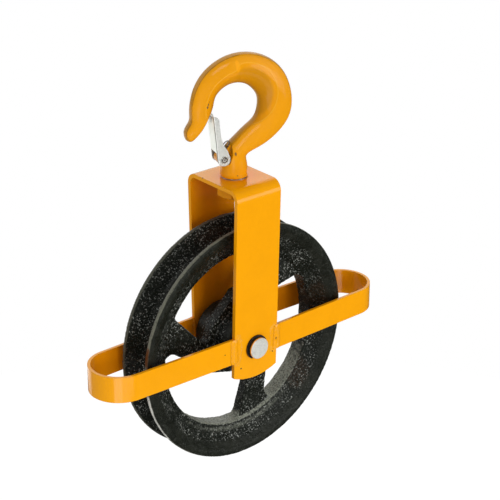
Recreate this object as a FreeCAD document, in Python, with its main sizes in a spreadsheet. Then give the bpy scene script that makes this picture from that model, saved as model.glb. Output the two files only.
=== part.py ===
"""Gin wheel: a rope sheave in a yoke with two guard straps, hung from a swivel safety hook.

Millimetres. The origin is the centre of the wheel on its axle. X runs along the guard straps,
Y along the axle (front is -Y) and Z points up to the hook.
"""
import FreeCAD
import Part
import math
import os
import re
import Sketcher
from FreeCAD import Placement, Rotation, Vector

AXIS_X = Vector(1, 0, 0)
AXIS_Y = Vector(0, 1, 0)
AXIS_Z = Vector(0, 0, 1)

# Driving dimensions: name, size in millimetres or degrees, what it sets.
SIZES = (
    ("wheel_radius", 125.0, "outer radius of the sheave, a 10 inch wheel"),
    ("wheel_width", 41.0, "width over the two flanges"),
    ("lip_width", 4.5, "flat outer edge of each flange"),
    ("lip_height", 6.0, "flat land on each flange's face"),
    ("groove_depth", 20.0, "rope groove, from the lips to its root"),
    ("groove_radius", 9.0, "round root of the rope groove"),
    ("rim_depth", 31.5, "rim, from the lips to its inside"),
    ("band_width", 18.0, "rim's narrow inner band"),
    ("band_height", 3.0, "band's face inside the flange's cone"),
    ("web_thickness", 12.0, "arms and hub plate"),
    ("hub_plate_radius", 38.0, "plate that the arms grow from"),
    ("boss_radius", 31.0, "hub boss at the plate"),
    ("boss_draft", 1.5, "radius lost along the boss"),
    ("hub_length", 52.0, "hub boss, end to end"),
    ("arm_count", 3, "arms of the wheel"),
    ("arm_turn", 252.8, "direction of the lower arm, from X towards Z"),
    ("arm_offset", 38.7, "arm's centre line from the wheel's centre"),
    ("arm_width", 21.5, "width of an arm"),
    ("arm_start", 8.0, "shoulder where an arm's outer side leaves the hub plate, along it"),
    ("flare_start", 32.0, "where an arm begins to widen, along it"),
    ("arm_flare", 8.5, "width that an arm gains on its outer side up to the rim"),
    ("arm_fillet", 9.0, "corners where the arms meet rim and hub"),
    ("cast_edge", 1.5, "rounding of the casting's small edges"),
    ("bush_wall", 4.0, "wall of the hub bush"),
    ("running_gap", 0.08, "radial clearance of the bush on the axle"),
    ("axle_radius", 11.0, "axle pin"),
    ("axle_reach", 6.5, "axle end beyond the yoke"),
    ("axle_chamfer", 0.6, "chamfer of the axle ends"),
    ("ring_groove", 1.2, "depth of a retaining ring's groove"),
    ("ring_thickness", 1.6, "retaining ring"),
    ("ring_gap", 0.5, "ring to yoke face"),
    ("ring_height", 1.6, "ring standing proud of the axle"),
    ("ring_mouth", 60.0, "open angle of the retaining ring"),
    ("washer_radius", 18.0, "thrust washer beside the hub"),
    ("washer_thickness", 2.0, "thrust washer"),
    ("side_gap", 0.3, "axial play between moving faces"),
    ("hole_gap", 0.15, "radial clearance of the axle in the yoke"),
    ("yoke_width", 54.5, "width of the yoke's flat bar"),
    ("leg_gap", 1.2, "leg beside its thrust washer"),
    ("wheel_room", 47.0, "wheel's top to the yoke's top face"),
    ("leg_lean", 1.55, "angle that each leg leans inward to its foot"),
    ("bar_thickness", 4.0, "yoke bar"),
    ("bend_radius", 11.0, "outside radius of the yoke's bends"),
    ("leg_drop", 28.0, "leg's corner below the axle"),
    ("leg_bulge", 6.0, "leg's round foot below its corners"),
    ("room_left", 47.8, "wheel's edge to the end of the left guard strap"),
    ("room_right", 51.0, "wheel's edge to the end of the right guard strap"),
    ("guard_height", 26.8, "height of the guard strap"),
    ("guard_thickness", 3.0, "guard strap"),
    ("guard_level", 2.4, "middle of the strap above the axle"),
    ("guard_taper", 1.4, "angle that each strap side closes in"),
    ("bead_radius", 9.0, "crown of a weld ripple"),
    ("bead_height", 1.3, "weld bead above the bar"),
    ("bead_pitch", 3.4, "weld ripple to ripple"),
    ("hook_rise", 71.4, "middle of the hook's bowl above the yoke"),
    ("bowl_shift", 0.7, "middle of the bowl beside the hook's centre line"),
    ("bowl_radius", 23.2, "inside radius of the bowl"),
    ("hook_radius", 52.0, "outside radius of the hook"),
    ("hook_shift", 6.2, "outer circle's centre beyond the bowl's"),
    ("hook_yaw", 18.0, "hook turned on its swivel at rest"),
    ("collar_radius", 13.2, "round neck of the hook"),
    ("collar_gap", 0.3, "neck above its washer"),
    ("shank_radius", 10.0, "hook shank through the yoke"),
    ("shank_gap", 0.4, "radial clearance of the shank"),
    ("shank_end", 3.0, "shank beyond its nut"),
    ("swivel_washer", 1.0, "washer under the neck"),
    ("swivel_radius", 12.9, "outside radius of that washer"),
    ("under_washer", 1.5, "washer under the top plate"),
    ("under_radius", 15.5, "outside radius of that washer"),
    ("nut_width", 30.0, "hook nut across its flats"),
    ("nut_height", 13.0, "hook nut"),
    ("nut_chamfer", 1.2, "chamfer of the nut's corners"),
    ("lock_radius", 2.0, "pin that locks the nut"),
    ("pivot_left", 13.4, "latch pivot from the hook's centre line"),
    ("pivot_drop", 50.2, "latch pivot below the middle of the bowl"),
    ("lug_radius", 6.0, "lug round the latch pivot"),
    ("lug_thickness", 8.4, "lug between the spring's coils"),
    ("latch_lean", 96.0, "latch's direction at rest, from X towards Z"),
    ("latch_swing", 35.0, "latch opening angle"),
    ("latch_length", 46.0, "latch above its pivot"),
    ("latch_eye", 6.5, "round lower end of the latch's cheeks"),
    ("latch_width", 18.0, "over the latch's cheeks"),
    ("latch_sheet", 1.5, "latch sheet"),
    ("latch_notch", 7.7, "latch web starts above the pivot"),
    ("web_drop", 2.2, "latch web ends below the top of its cheeks"),
    ("cheek_waist", 1.0, "cheek's far edge inside the pivot line"),
    ("cheek_foot", 16.3, "cheek narrows up to here"),
    ("latch_gap", 0.6, "clearance round the swinging cheeks"),
    ("rivet_radius", 2.6, "latch rivet"),
    ("rivet_head", 3.4, "radius of a rivet head"),
    ("rivet_cap", 0.9, "height of a rivet head"),
    ("rivet_gap", 0.1, "radial clearance of the latch on its rivet"),
    ("wire_radius", 0.45, "spring wire"),
    ("coil_radius", 3.7, "spring coil on the rivet"),
    ("coil_pitch", 0.96, "turn to turn of the spring"),
    ("coil_gap", 0.1, "coil beside the lug"),
    ("loop_reach", 16.5, "spring loop above the pivot"),
    ("loop_lean", 50.0, "spring loop's direction, from X towards Z"),
)

# Sections of the forged hook where it leaves its two circles: place from the bowl's middle,
# direction from inside to outside, half depth and half thickness.
NECK_SECTIONS = (
    (-1.2, -54.7, -4.0, 12.4, 12.5),
    (-1.2, -48.7, -9.0, 12.0, 12.3),
    (9.3, -39.2, -19.9, 14.1, 12.0),
    (26.0, -27.5, -19.6, 16.6, 12.0),
    (37.2, -15.6, -8.3, 17.4, 12.0),
)
TIP_SECTIONS = (
    (-37.6, -11.4, 174.5, 8.9, 8.5),
    (-42.4, -19.1, 165.0, 8.3, 7.9),
    (-45.5, -24.3, 160.0, 6.5, 6.4),
    (-46.6, -28.2, 160.0, 4.0, 4.0),
    (-47.0, -29.7, 160.0, 1.6, 1.6),
)
# Half thickness of the hook along its bowl, one value each 30 degrees from the right side.
BOWL_THICKNESS = (12.0, 12.0, 11.6, 10.8, 10.0, 9.2, 8.8)
BOWL_STEP = 30

# Sizes and places that follow from the driving dimensions.
PLACES = {
    "band_radius": "wheel_radius - rim_depth",
    "yoke_depth": "hub_length + 2*(side_gap + washer_thickness + leg_gap + bar_thickness)",
    "yoke_top": "wheel_radius + wheel_room",
    "yoke_ceiling": "yoke_top - bar_thickness",
    "reach_left": "wheel_radius + room_left",
    "reach_right": "wheel_radius + room_right",
    "collar_bottom": "yoke_top + swivel_washer + collar_gap",
    "bowl_height": "yoke_top + hook_rise",
    "pivot_height": "bowl_height - pivot_drop",
    "nut_bottom": "yoke_ceiling - under_washer - collar_gap - nut_height",
    "lock_level": "nut_bottom + nut_height/2",
}

doc = FreeCAD.newDocument("gin_wheel")
sheet = doc.addObject("Spreadsheet::Sheet", "Sizes")


def fill_sheet():
    """Puts every driving dimension in a cell of its own."""
    for row, (alias, size, meaning) in enumerate(SIZES, 1):
        sheet.set("A%d" % row, alias)
        sheet.set("B%d" % row, str(size))
        sheet.set("C%d" % row, meaning)
        sheet.setAlias("B%d" % row, alias)
    doc.recompute()


def formula(text):
    """Points each two-part word of a formula at its cell in the sheet."""
    def cell(match):
        word = match.group()
        return "(%s)" % formula(PLACES[word]) if word in PLACES else "Sizes." + word

    return re.sub(r"[a-z]+(?:_[a-z]+)+", cell, text)


def size(text):
    """Works out a formula as a plain number."""
    result = sheet.evalExpression(formula(text))
    return float(getattr(result, "Value", result))


def new_body(label, hook_side=False):
    """Starts a sub-part. One on the hook's side turns with the hook's yaw."""
    body = doc.addObject("PartDesign::Body", label)
    body.Label = label
    if hook_side:
        body.Placement = Placement(Vector(), Rotation(AXIS_Z, -1))
        body.setExpression("Placement.Rotation.Angle", formula("-hook_yaw"))
    return body


def origin_item(body, role):
    return [item for item in body.Origin.OriginFeatures if item.Role == role][0]


def new_sketch(body, plane, shift=("0", "0", "0"), turn=None, axis=AXIS_Z):
    """A sketch on one of the body's planes, moved and turned by formulas in that plane's frame."""
    sketch = body.newObject("Sketcher::SketchObject", body.Label + "_sketch")
    sketch.AttachmentSupport = (origin_item(body, plane), [""])
    sketch.MapMode = "FlatFace"
    if turn:
        sketch.AttachmentOffset = Placement(Vector(), Rotation(axis, 1))
        sketch.setExpression("AttachmentOffset.Rotation.Angle", formula(turn))
    for letter, text in zip("xyz", shift):
        if text != "0":
            sketch.setExpression("AttachmentOffset.Base." + letter, formula(text))
    return sketch


def constrain(sketch, text, kind, *place):
    """Adds a constraint whose value follows a formula."""
    number = sketch.addConstraint(Sketcher.Constraint(kind, *place, size(text)))
    sketch.setExpression("Constraints[%d]" % number, formula(text))


def arc_between(first, last, radius, bend):
    """The short arc from first to last, its centre on the left for bend 1, on the right for -1."""
    middle = (first + last) * 0.5
    half = (last - first).Length / 2
    across = (last - first).cross(AXIS_Z).normalize() * -bend
    centre = middle + across * math.sqrt(max(radius ** 2 - half ** 2, 0))
    ends = (first, last) if bend > 0 else (last, first)
    start, stop = [math.atan2(end.y - centre.y, end.x - centre.x) for end in ends]
    return Part.ArcOfCircle(Part.Circle(centre, AXIS_Z, radius), start, stop)


def outline(sketch, corners, arcs=None):
    """A closed outline. corners are pairs of formulas. arcs gives a side's radius and bend."""
    arcs = arcs or {}
    points = [Vector(size(across), size(up), 0) for across, up in corners]
    count = len(points)
    first = sketch.GeometryCount
    for side, point in enumerate(points):
        after = points[(side + 1) % count]
        if side in arcs:
            radius, bend = arcs[side]
            sketch.addGeometry(arc_between(point, after, size(radius), bend), False)
        else:
            sketch.addGeometry(Part.LineSegment(point, after), False)
    # A curve's end 1 is its start and 2 its stop; an arc bent to the right runs backwards.
    backward = [side in arcs and arcs[side][1] < 0 for side in range(count)]
    for side, (across, up) in enumerate(corners):
        before = (side - 1) % count
        start = 2 if backward[side] else 1
        stop = 1 if backward[before] else 2
        sketch.addConstraint(Sketcher.Constraint("Coincident", first + before, stop, first + side, start))
        constrain(sketch, across, "DistanceX", -1, 1, first + side, start)
        constrain(sketch, up, "DistanceY", -1, 1, first + side, start)
    for side, (radius, _) in arcs.items():
        constrain(sketch, radius, "Radius", first + side)
    return sketch


def circles(sketch, *radii, across="0", up="0"):
    """Circles about one centre, which is given by formulas."""
    for radius in radii:
        centre = Vector(size(across), size(up), 0)
        number = sketch.addGeometry(Part.Circle(centre, AXIS_Z, size(radius)), False)
        constrain(sketch, radius, "Radius", number)
        constrain(sketch, across, "DistanceX", -1, 1, number, 3)
        constrain(sketch, up, "DistanceY", -1, 1, number, 3)
    return sketch


def extrude(body, sketch, length, kind="PartDesign::Pad", middle=True, backward=False):
    """A pad or pocket of the sketch, both ways from its plane or to one side."""
    feature = body.newObject(kind, body.Label + "_" + kind.split("::")[1].lower())
    feature.Profile = sketch
    feature.SideType = "Symmetric" if middle else "One side"
    feature.Reversed = backward
    if length is None:
        feature.Type = "ThroughAll"
    else:
        feature.setExpression("Length", formula(length))
    body.Tip = feature
    doc.recompute()
    return feature


def cut(body, sketch, length=None, middle=True, backward=False):
    """A pocket that has to take something away."""
    before = body.Shape.Volume
    feature = extrude(body, sketch, length, "PartDesign::Pocket", middle, backward)
    if not feature.Shape.Volume < before - 1e-6:
        raise RuntimeError(body.Label + ": a pocket cuts nothing")
    return feature


def revolve(body, sketch, axis, kind="PartDesign::Revolution"):
    """Turns a sketch all round its own horizontal or vertical axis."""
    feature = body.newObject(kind, body.Label + "_turned")
    feature.Profile = sketch
    feature.ReferenceAxis = (sketch, [axis])
    feature.Angle = 360
    body.Tip = feature
    doc.recompute()
    return feature


def round_edges(body, radius, wanted, kind="PartDesign::Fillet"):
    """Rounds or chamfers the edges of the body's last feature that the test wants."""
    base = body.Tip
    names = ["Edge%d" % number for number, edge in enumerate(base.Shape.Edges, 1) if wanted(edge)]
    if not names:
        raise RuntimeError(body.Label + ": no edge to round")
    feature = body.newObject(kind, body.Label + "_edges")
    feature.Base = (base, names)
    feature.setExpression("Radius" if kind.endswith("Fillet") else "Size", formula(radius))
    body.Tip = feature
    doc.recompute()
    return feature


def is_circle(edge, radius, along=None, axis="y"):
    """True for an edge that is a circle of this radius, at this place along its axis."""
    if not isinstance(edge.Curve, Part.Circle) or abs(edge.Curve.Radius - radius) > 0.01:
        return False
    return along is None or abs(abs(getattr(edge.Curve.Center, axis)) - abs(along)) < 0.01


def runs_along(edge, direction):
    """True for a straight edge in this direction."""
    if not isinstance(edge.Curve, Part.Line):
        return False
    return abs(abs(edge.tangentAt(edge.FirstParameter).dot(direction)) - 1) < 1e-6


# The sheave

FLANK = "(atan2(groove_depth - groove_radius, wheel_width/2 - lip_width)" \
        " - acos(groove_radius/sqrt((groove_depth - groove_radius)^2 + (wheel_width/2 - lip_width)^2)))"


def sheave_profile():
    """Half section of the wheel: hub, web, rim and rope groove, from the front round to the back."""
    root = "(wheel_radius - groove_depth + groove_radius)"
    front = [
        ("hub_length/2", "axle_radius + running_gap + bush_wall"),
        ("hub_length/2", "boss_radius - boss_draft"),
        ("web_thickness/2", "boss_radius"),
        ("web_thickness/2", "band_radius"),
        ("band_width/2", "band_radius"),
        ("band_width/2", "band_radius + band_height"),
        ("wheel_width/2", "wheel_radius - lip_height"),
        ("wheel_width/2", "wheel_radius"),
        ("wheel_width/2 - lip_width", "wheel_radius"),
        ("groove_radius*cos(%s)" % FLANK, "%s + groove_radius*sin(%s)" % (root, FLANK)),
    ]
    back = [(across, up) for across, up in reversed(front)]
    front = [("-(%s)" % across, up) for across, up in front]
    return front + back, {len(front) - 1: ("groove_radius", 1)}


def arm_window():
    """The opening between two arms, seen in the frame of the arm on its right."""
    near = "(arm_offset - arm_width/2)"
    far = "(arm_offset + arm_width/2)"
    flared = "(arm_offset + arm_width/2 + arm_flare)"
    step = "(360/arm_count)"
    shoulder = "sqrt(arm_start^2 + %s^2)" % far
    leaves_hub = "(atan2(%s, arm_start) + acos(hub_plate_radius/%s))" % (far, shoulder)

    def on_next_arm(radius):
        along = "sqrt(%s^2 - %s^2)" % (radius, near)
        return ("%s*cos(%s) - %s*sin(%s)" % (along, step, near, step),
                "%s*sin(%s) + %s*cos(%s)" % (along, step, near, step))

    corners = [
        ("sqrt(band_radius^2 - %s^2)" % flared, flared),
        ("flare_start", far),
        ("arm_start", far),
        ("hub_plate_radius*cos(%s)" % leaves_hub, "hub_plate_radius*sin(%s)" % leaves_hub),
        on_next_arm("hub_plate_radius"),
        on_next_arm("band_radius"),
    ]
    return corners, {3: ("hub_plate_radius", 1), 5: ("band_radius", -1)}


def make_sheave():
    """Cast iron rope wheel: turned section, windows between offset arms, cast fillets."""
    body = new_body("sheave")
    # The section is turned half a step from an arm, so the seam it leaves stays clear of them.
    section = new_sketch(body, "YZ_Plane", turn="90 - arm_turn", axis=AXIS_X)
    revolve(body, outline(section, *sheave_profile()), "H_Axis")
    window = cut(body, outline(new_sketch(body, "XZ_Plane", turn="arm_turn"), *arm_window()))
    pattern = body.newObject("PartDesign::PolarPattern", "sheave_windows")
    pattern.Originals = [window]
    pattern.Axis = (origin_item(body, "Y_Axis"), [""])
    pattern.Angle = 360
    pattern.setExpression("Occurrences", formula("arm_count"))
    body.Tip = pattern
    doc.recompute()
    round_edges(body, "arm_fillet", lambda edge: runs_along(edge, AXIS_Y)
                and math.hypot(edge.CenterOfMass.x, edge.CenterOfMass.z) > size("band_radius") - 1)
    round_edges(body, "arm_fillet/2", lambda edge: runs_along(edge, AXIS_Y)
                and abs(math.hypot(edge.CenterOfMass.x, edge.CenterOfMass.z)
                        - size("hub_plate_radius")) < 0.5)
    half = size("wheel_width/2")
    round_edges(body, "lip_height/2", lambda edge: is_circle(edge, size("wheel_radius - lip_height"), half))
    round_edges(body, "cast_edge", lambda edge: is_circle(edge, size("wheel_radius"))
                or is_circle(edge, size("boss_radius - boss_draft"), size("hub_length/2")))
    return body


def make_bush():
    """Bronze bush pressed into the hub."""
    body = new_body("hub_bush")
    bore = "axle_radius + running_gap"
    extrude(body, circles(new_sketch(body, "XZ_Plane"), bore, bore + " + bush_wall"), "hub_length")
    return body


# The axle and what holds it

def make_axle():
    """Steel pin with a groove outside each leg for its retaining ring."""
    body = new_body("axle")
    end = "yoke_depth/2 + axle_reach"
    groove = "yoke_depth/2 + ring_gap"
    upper = [
        ("0", end),
        ("axle_radius - axle_chamfer", end),
        ("axle_radius", end + " - axle_chamfer"),
        ("axle_radius", groove + " + ring_thickness"),
        ("axle_radius - ring_groove", groove + " + ring_thickness"),
        ("axle_radius - ring_groove", groove),
        ("axle_radius", groove),
    ]
    lower = [(across, "-(%s)" % up) for across, up in reversed(upper)]
    revolve(body, outline(new_sketch(body, "XY_Plane"), upper + lower), "V_Axis")
    return body


def make_axle_ring(label, side):
    """Open retaining ring in an axle groove, with its mouth downward."""
    body = new_body(label)
    inner = "(axle_radius - ring_groove)"
    outer = "(axle_radius + ring_height)"
    right = "(-90 + ring_mouth/2)"
    left = "(270 - ring_mouth/2)"

    def at(radius, angle):
        return ("%s*cos(%s)" % (radius, angle), "%s*sin(%s)" % (radius, angle))

    corners = [at(outer, right), ("0", outer), at(outer, left), at(inner, left), ("0", inner), at(inner, right)]
    arcs = {0: (outer, 1), 1: (outer, 1), 3: (inner, -1), 4: (inner, -1)}
    lift = "%d*(yoke_depth/2 + ring_gap)" % side
    sketch = new_sketch(body, "XZ_Plane", shift=("0", "0", lift))
    extrude(body, outline(sketch, corners, arcs), "ring_thickness", middle=False, backward=side < 0)
    return body


def make_washer(label, side):
    """Thrust washer on the axle between hub and leg."""
    body = new_body(label)
    lift = "%d*(hub_length/2 + side_gap)" % side
    sketch = new_sketch(body, "XZ_Plane", shift=("0", "0", lift))
    circles(sketch, "axle_radius + side_gap", "washer_radius")
    extrude(body, sketch, "washer_thickness", middle=False, backward=side < 0)
    return body


# The yoke and its guards

def make_yoke():
    """Flat bar bent to an upside-down U, its legs leaning in, with round feet."""
    body = new_body("yoke")
    foot = "(leg_drop + leg_bulge)"
    outer = "(yoke_depth/2 %s*tan(leg_lean))"
    wall = " - bar_thickness/cos(leg_lean)"
    right = [
        (outer % ("- " + foot), "-" + foot),
        (outer % "+ yoke_top", "yoke_top"),
        (outer % "+ yoke_ceiling" + wall, "yoke_ceiling"),
        (outer % ("- " + foot) + wall, "-" + foot),
    ]
    left = [("-(%s)" % across, up) for across, up in right]
    corners = [right[0], right[1], left[1], left[0], left[3], left[2], right[2], right[3]]
    extrude(body, outline(new_sketch(body, "YZ_Plane"), corners), "yoke_width")
    top = size("yoke_top")
    inside = size("yoke_ceiling")
    round_edges(body, "bend_radius",
                lambda edge: runs_along(edge, AXIS_X) and abs(edge.CenterOfMass.z - top) < 0.01)
    round_edges(body, "bend_radius - bar_thickness",
                lambda edge: runs_along(edge, AXIS_X) and abs(edge.CenterOfMass.z - inside) < 0.01)
    trim_feet(body)
    circles_through(body, "XZ_Plane", "axle_radius + hole_gap")
    circles_through(body, "XY_Plane", "shank_radius + shank_gap")
    return body


def circles_through(body, plane, radius):
    """A round hole right through the body, about the plane's middle."""
    return cut(body, circles(new_sketch(body, plane), radius))


def trim_feet(body):
    """Cuts the legs' corners back to an arc that bulges downward."""
    half = "yoke_width/2"
    radius = "((%s)^2 + leg_bulge^2)/(2*leg_bulge)" % half
    corners = [
        ("-" + half, "-leg_drop"),
        ("0", "-leg_drop - leg_bulge"),
        (half, "-leg_drop"),
        (half + " + bar_thickness", "-leg_drop"),
        (half + " + bar_thickness", "-leg_drop - leg_bulge - bar_thickness"),
        ("-%s - bar_thickness" % half, "-leg_drop - leg_bulge - bar_thickness"),
        ("-%s - bar_thickness" % half, "-leg_drop"),
    ]
    sketch = outline(new_sketch(body, "XZ_Plane"), corners, {0: (radius, 1), 1: (radius, 1)})
    return cut(body, sketch)


def make_guard(label, side):
    """Flat strap bent to a U round one side of the wheel, its ends against the legs' edges."""
    body = new_body(label)
    reach = "reach_right" if side > 0 else "reach_left"
    span = "(%s - yoke_width/2)" % reach
    bend = "((yoke_depth/2*cos(guard_taper) - %s*sin(guard_taper))/(1 - sin(guard_taper)))" % span
    middle = "(%s - %s)" % (reach, bend)
    sign = "" if side > 0 else "-"

    def half_strap(inset):
        radius = "(%s - %s)" % (bend, inset)
        return [
            ("yoke_width/2", "yoke_depth/2 - %s/cos(guard_taper)" % inset),
            ("%s + %s*sin(guard_taper)" % (middle, radius), "%s*cos(guard_taper)" % radius),
            ("%s - %s" % (reach, inset), "0"),
        ]

    def place(corner, flip=False):
        across, up = corner
        return (sign + "(%s)" % across, "-(%s)" % up if flip else up)

    outer = half_strap("0")
    inner = half_strap("guard_thickness")
    corners = [place(outer[0], True), place(outer[1], True), place(outer[2]), place(outer[1]), place(outer[0]),
               place(inner[0]), place(inner[1]), place(inner[2]), place(inner[1], True), place(inner[0], True)]
    arcs = {1: (bend, side), 2: (bend, side),
            6: (bend + " - guard_thickness", -side), 7: (bend + " - guard_thickness", -side)}
    sketch = new_sketch(body, "XY_Plane", shift=("0", "0", "guard_level"))
    extrude(body, outline(sketch, corners, arcs), "guard_height")
    return body


def make_weld(label, side, face, yoke, guard):
    """A rippled bead over one joint of strap and leg, seated on both."""
    crown = size("bead_radius")
    depth = size("yoke_depth/2 + bead_height") - crown
    level = size("guard_level")
    height = size("guard_height")
    pitch = size("bead_pitch")
    ripples = max(int(height / pitch), 1)
    start = level - pitch * (ripples - 1) / 2
    joint = side * size("yoke_width/2")
    balls = [Part.makeSphere(crown, Vector(joint, face * depth, start + pitch * number))
             for number in range(ripples)]
    bead = balls[0].fuse(balls[1:]) if ripples > 1 else balls[0]
    skin = size("yoke_depth/2 - bar_thickness/2")
    room = Part.makeBox(4 * crown, crown, height, Vector(joint - 2 * crown, 0, level - height / 2))
    room.translate(Vector(0, skin if face > 0 else -skin - crown, 0))
    bead = bead.common(room).cut(yoke.Shape).cut(guard.Shape)
    largest = max(bead.Solids, key=lambda solid: solid.Volume)
    feature = doc.addObject("Part::Feature", label)
    feature.Label = label
    feature.Shape = largest
    feature.Placement = Placement()
    return feature


# The hook

def hook_depth(angle):
    """Distance from the bowl's middle to the hook's outer circle, in one direction."""
    return "(hook_shift*cos(%s) + sqrt(hook_radius^2 - (hook_shift*sin(%s))^2))" % (angle, angle)


def hook_sections():
    """Every section of the hook, from its neck to its tip, as formulas."""
    neck = [("0", "collar_bottom", "0", "collar_radius", "collar_radius"),
            ("-collar_radius*0.02", "collar_bottom + collar_radius*0.5", "0",
             "collar_radius*0.98", "collar_radius*0.98")]
    bowl = []
    for number, half in enumerate(BOWL_THICKNESS):
        angle = str(number * BOWL_STEP)
        reach = "(%s + bowl_radius)/2" % hook_depth(angle)
        bowl.append(("bowl_shift + %s*cos(%s)" % (reach, angle),
                     "bowl_height + %s*sin(%s)" % (reach, angle), angle,
                     "(%s - bowl_radius)/2" % hook_depth(angle), str(half)))

    def free(rows):
        return [("bowl_shift + %s" % across, "bowl_height + %s" % up, str(angle), str(deep), str(thick))
                for across, up, angle, deep, thick in rows]

    return neck + free(NECK_SECTIONS) + bowl + free(TIP_SECTIONS)


def section_sketch(body, across, up, angle, deep, thick):
    """An ellipse square to the hook's path, its long axis from inside to outside."""
    sketch = new_sketch(body, "XY_Plane", (across, "0", up), "-(%s)" % angle, AXIS_Y)
    major, minor = size(deep), size(thick)
    if major < minor + 1e-6:
        major = minor + 1e-3
    ellipse = Part.Ellipse(Vector(major, 0, 0), Vector(0, minor, 0), Vector())
    sketch.addGeometry(ellipse, False)
    return sketch


def make_hook():
    """Forged hook lofted from neck to tip, with its shank, latch lug and the latch's recesses."""
    body = new_body("hook", hook_side=True)
    sketches = [section_sketch(body, *section) for section in hook_sections()]
    loft = body.newObject("PartDesign::AdditiveLoft", "hook_forging")
    loft.Profile = sketches[0]
    loft.Sections = sketches[1:]
    body.Tip = loft
    doc.recompute()
    tail = "(nut_bottom - shank_end)"
    sketch = new_sketch(body, "XY_Plane", shift=("0", "0", tail))
    extrude(body, circles(sketch, "shank_radius"), "collar_bottom + collar_radius/2 - " + tail, middle=False)
    round_edges(body, "nut_chamfer", lambda edge: is_circle(edge, size("shank_radius"), size(tail), "z"),
                "PartDesign::Chamfer")
    extrude(body, lug_outline(new_sketch(body, "XZ_Plane")), "lug_thickness")
    for side in (1, -1):
        cut_recess(body, side)
    rivet = circles(new_sketch(body, "XZ_Plane"), "rivet_radius", across="-pivot_left", up="pivot_height")
    cut(body, rivet)
    lock = circles(new_sketch(body, "XZ_Plane"), "lock_radius", up="lock_level")
    cut(body, lock)
    return body


def lug_outline(sketch):
    """Round eye about the latch pivot that runs back into the neck."""
    corners = [
        ("-pivot_left", "pivot_height + lug_radius"),
        ("-pivot_left - lug_radius", "pivot_height"),
        ("-pivot_left", "pivot_height - lug_radius"),
        ("0", "pivot_height - lug_radius"),
        ("0", "pivot_height + lug_radius"),
    ]
    return outline(sketch, corners, {0: ("lug_radius", 1), 1: ("lug_radius", 1)})


def cheek_edge(gap=""):
    """A cheek's edge away from the web, from its eye upward, moved out by a gap."""
    return [
        ("latch_eye" + gap, "0"),
        ("latch_eye*0.65" + gap, "cheek_foot*0.53"),
        ("cheek_waist - 0.4" + gap, "cheek_foot*0.95"),
        ("-cheek_waist" + gap, "latch_length*0.55"),
    ]


def cut_recess(body, side):
    """Takes away one side of the neck where a latch cheek and a spring coil swing."""
    shift = ("-pivot_left", "pivot_height", "%d*lug_thickness/2" % side)
    sketch = new_sketch(body, "XZ_Plane", shift, "latch_lean - latch_swing - 90")
    eye = "(latch_eye + latch_gap)"
    corners = [
        ("-" + eye, "0"),
        ("0", "-" + eye),
    ]
    corners += cheek_edge("+ latch_gap")
    corners += [("-2*latch_eye", "latch_length*0.55"), ("-2*latch_eye", "0")]
    outline(sketch, corners, {0: (eye, 1), 1: (eye, 1)})
    cut(body, sketch, "2*collar_radius", middle=False, backward=side > 0)


def make_nut():
    """Hexagon nut under the top plate, chamfered, with a cross hole for its lock pin."""
    body = new_body("hook_nut", hook_side=True)
    sketch = new_sketch(body, "XY_Plane", shift=("0", "0", "nut_bottom"))
    corner = "nut_width/2/cos(30)"
    points = [("%s*cos(%d)" % (corner, 60 * number), "%s*sin(%d)" % (corner, 60 * number)) for number in range(6)]
    outline(sketch, points)
    number = sketch.addGeometry(Part.Circle(Vector(), AXIS_Z, size("shank_radius")), False)
    sketch.addConstraint(Sketcher.Constraint("Coincident", number, 3, -1, 1))
    constrain(sketch, "shank_radius", "Radius", number)
    extrude(body, sketch, "nut_height", middle=False)
    for low in (True, False):
        chamfer_nut(body, low)
    lock = circles(new_sketch(body, "XZ_Plane"), "lock_radius", up="lock_level")
    cut(body, lock)
    return body


def chamfer_nut(body, low):
    """Turns off the hexagon's corners at one end."""
    end = "nut_bottom" if low else "(nut_bottom + nut_height)"
    away = "+" if low else "-"
    corner = "(nut_width/2/cos(30) + 1)"
    corners = [("nut_width/2", end), (corner, end), (corner, "%s %s nut_chamfer*1.5" % (end, away))]
    sketch = outline(new_sketch(body, "XZ_Plane"), corners)
    before = body.Shape.Volume
    revolve(body, sketch, "V_Axis", "PartDesign::Groove")
    if not body.Shape.Volume < before:
        raise RuntimeError("the nut's chamfer cuts nothing")


def make_lock_pin():
    """Pin across nut and shank."""
    body = new_body("nut_lock_pin", hook_side=True)
    extrude(body, circles(new_sketch(body, "XZ_Plane"), "lock_radius", up="lock_level"), "nut_width")
    return body


def make_swivel_washer():
    """Washer on the top plate under the hook's neck."""
    body = new_body("swivel_washer")
    sketch = new_sketch(body, "XY_Plane", shift=("0", "0", "yoke_top"))
    extrude(body, circles(sketch, "shank_radius + shank_gap", "swivel_radius"), "swivel_washer", middle=False)
    return body


def make_under_washer():
    """Washer between the top plate and the hook nut."""
    body = new_body("nut_washer")
    sketch = new_sketch(body, "XY_Plane", shift=("0", "0", "yoke_ceiling - under_washer"))
    extrude(body, circles(sketch, "shank_radius + shank_gap", "under_radius"), "under_washer", middle=False)
    return body


# The latch

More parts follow.
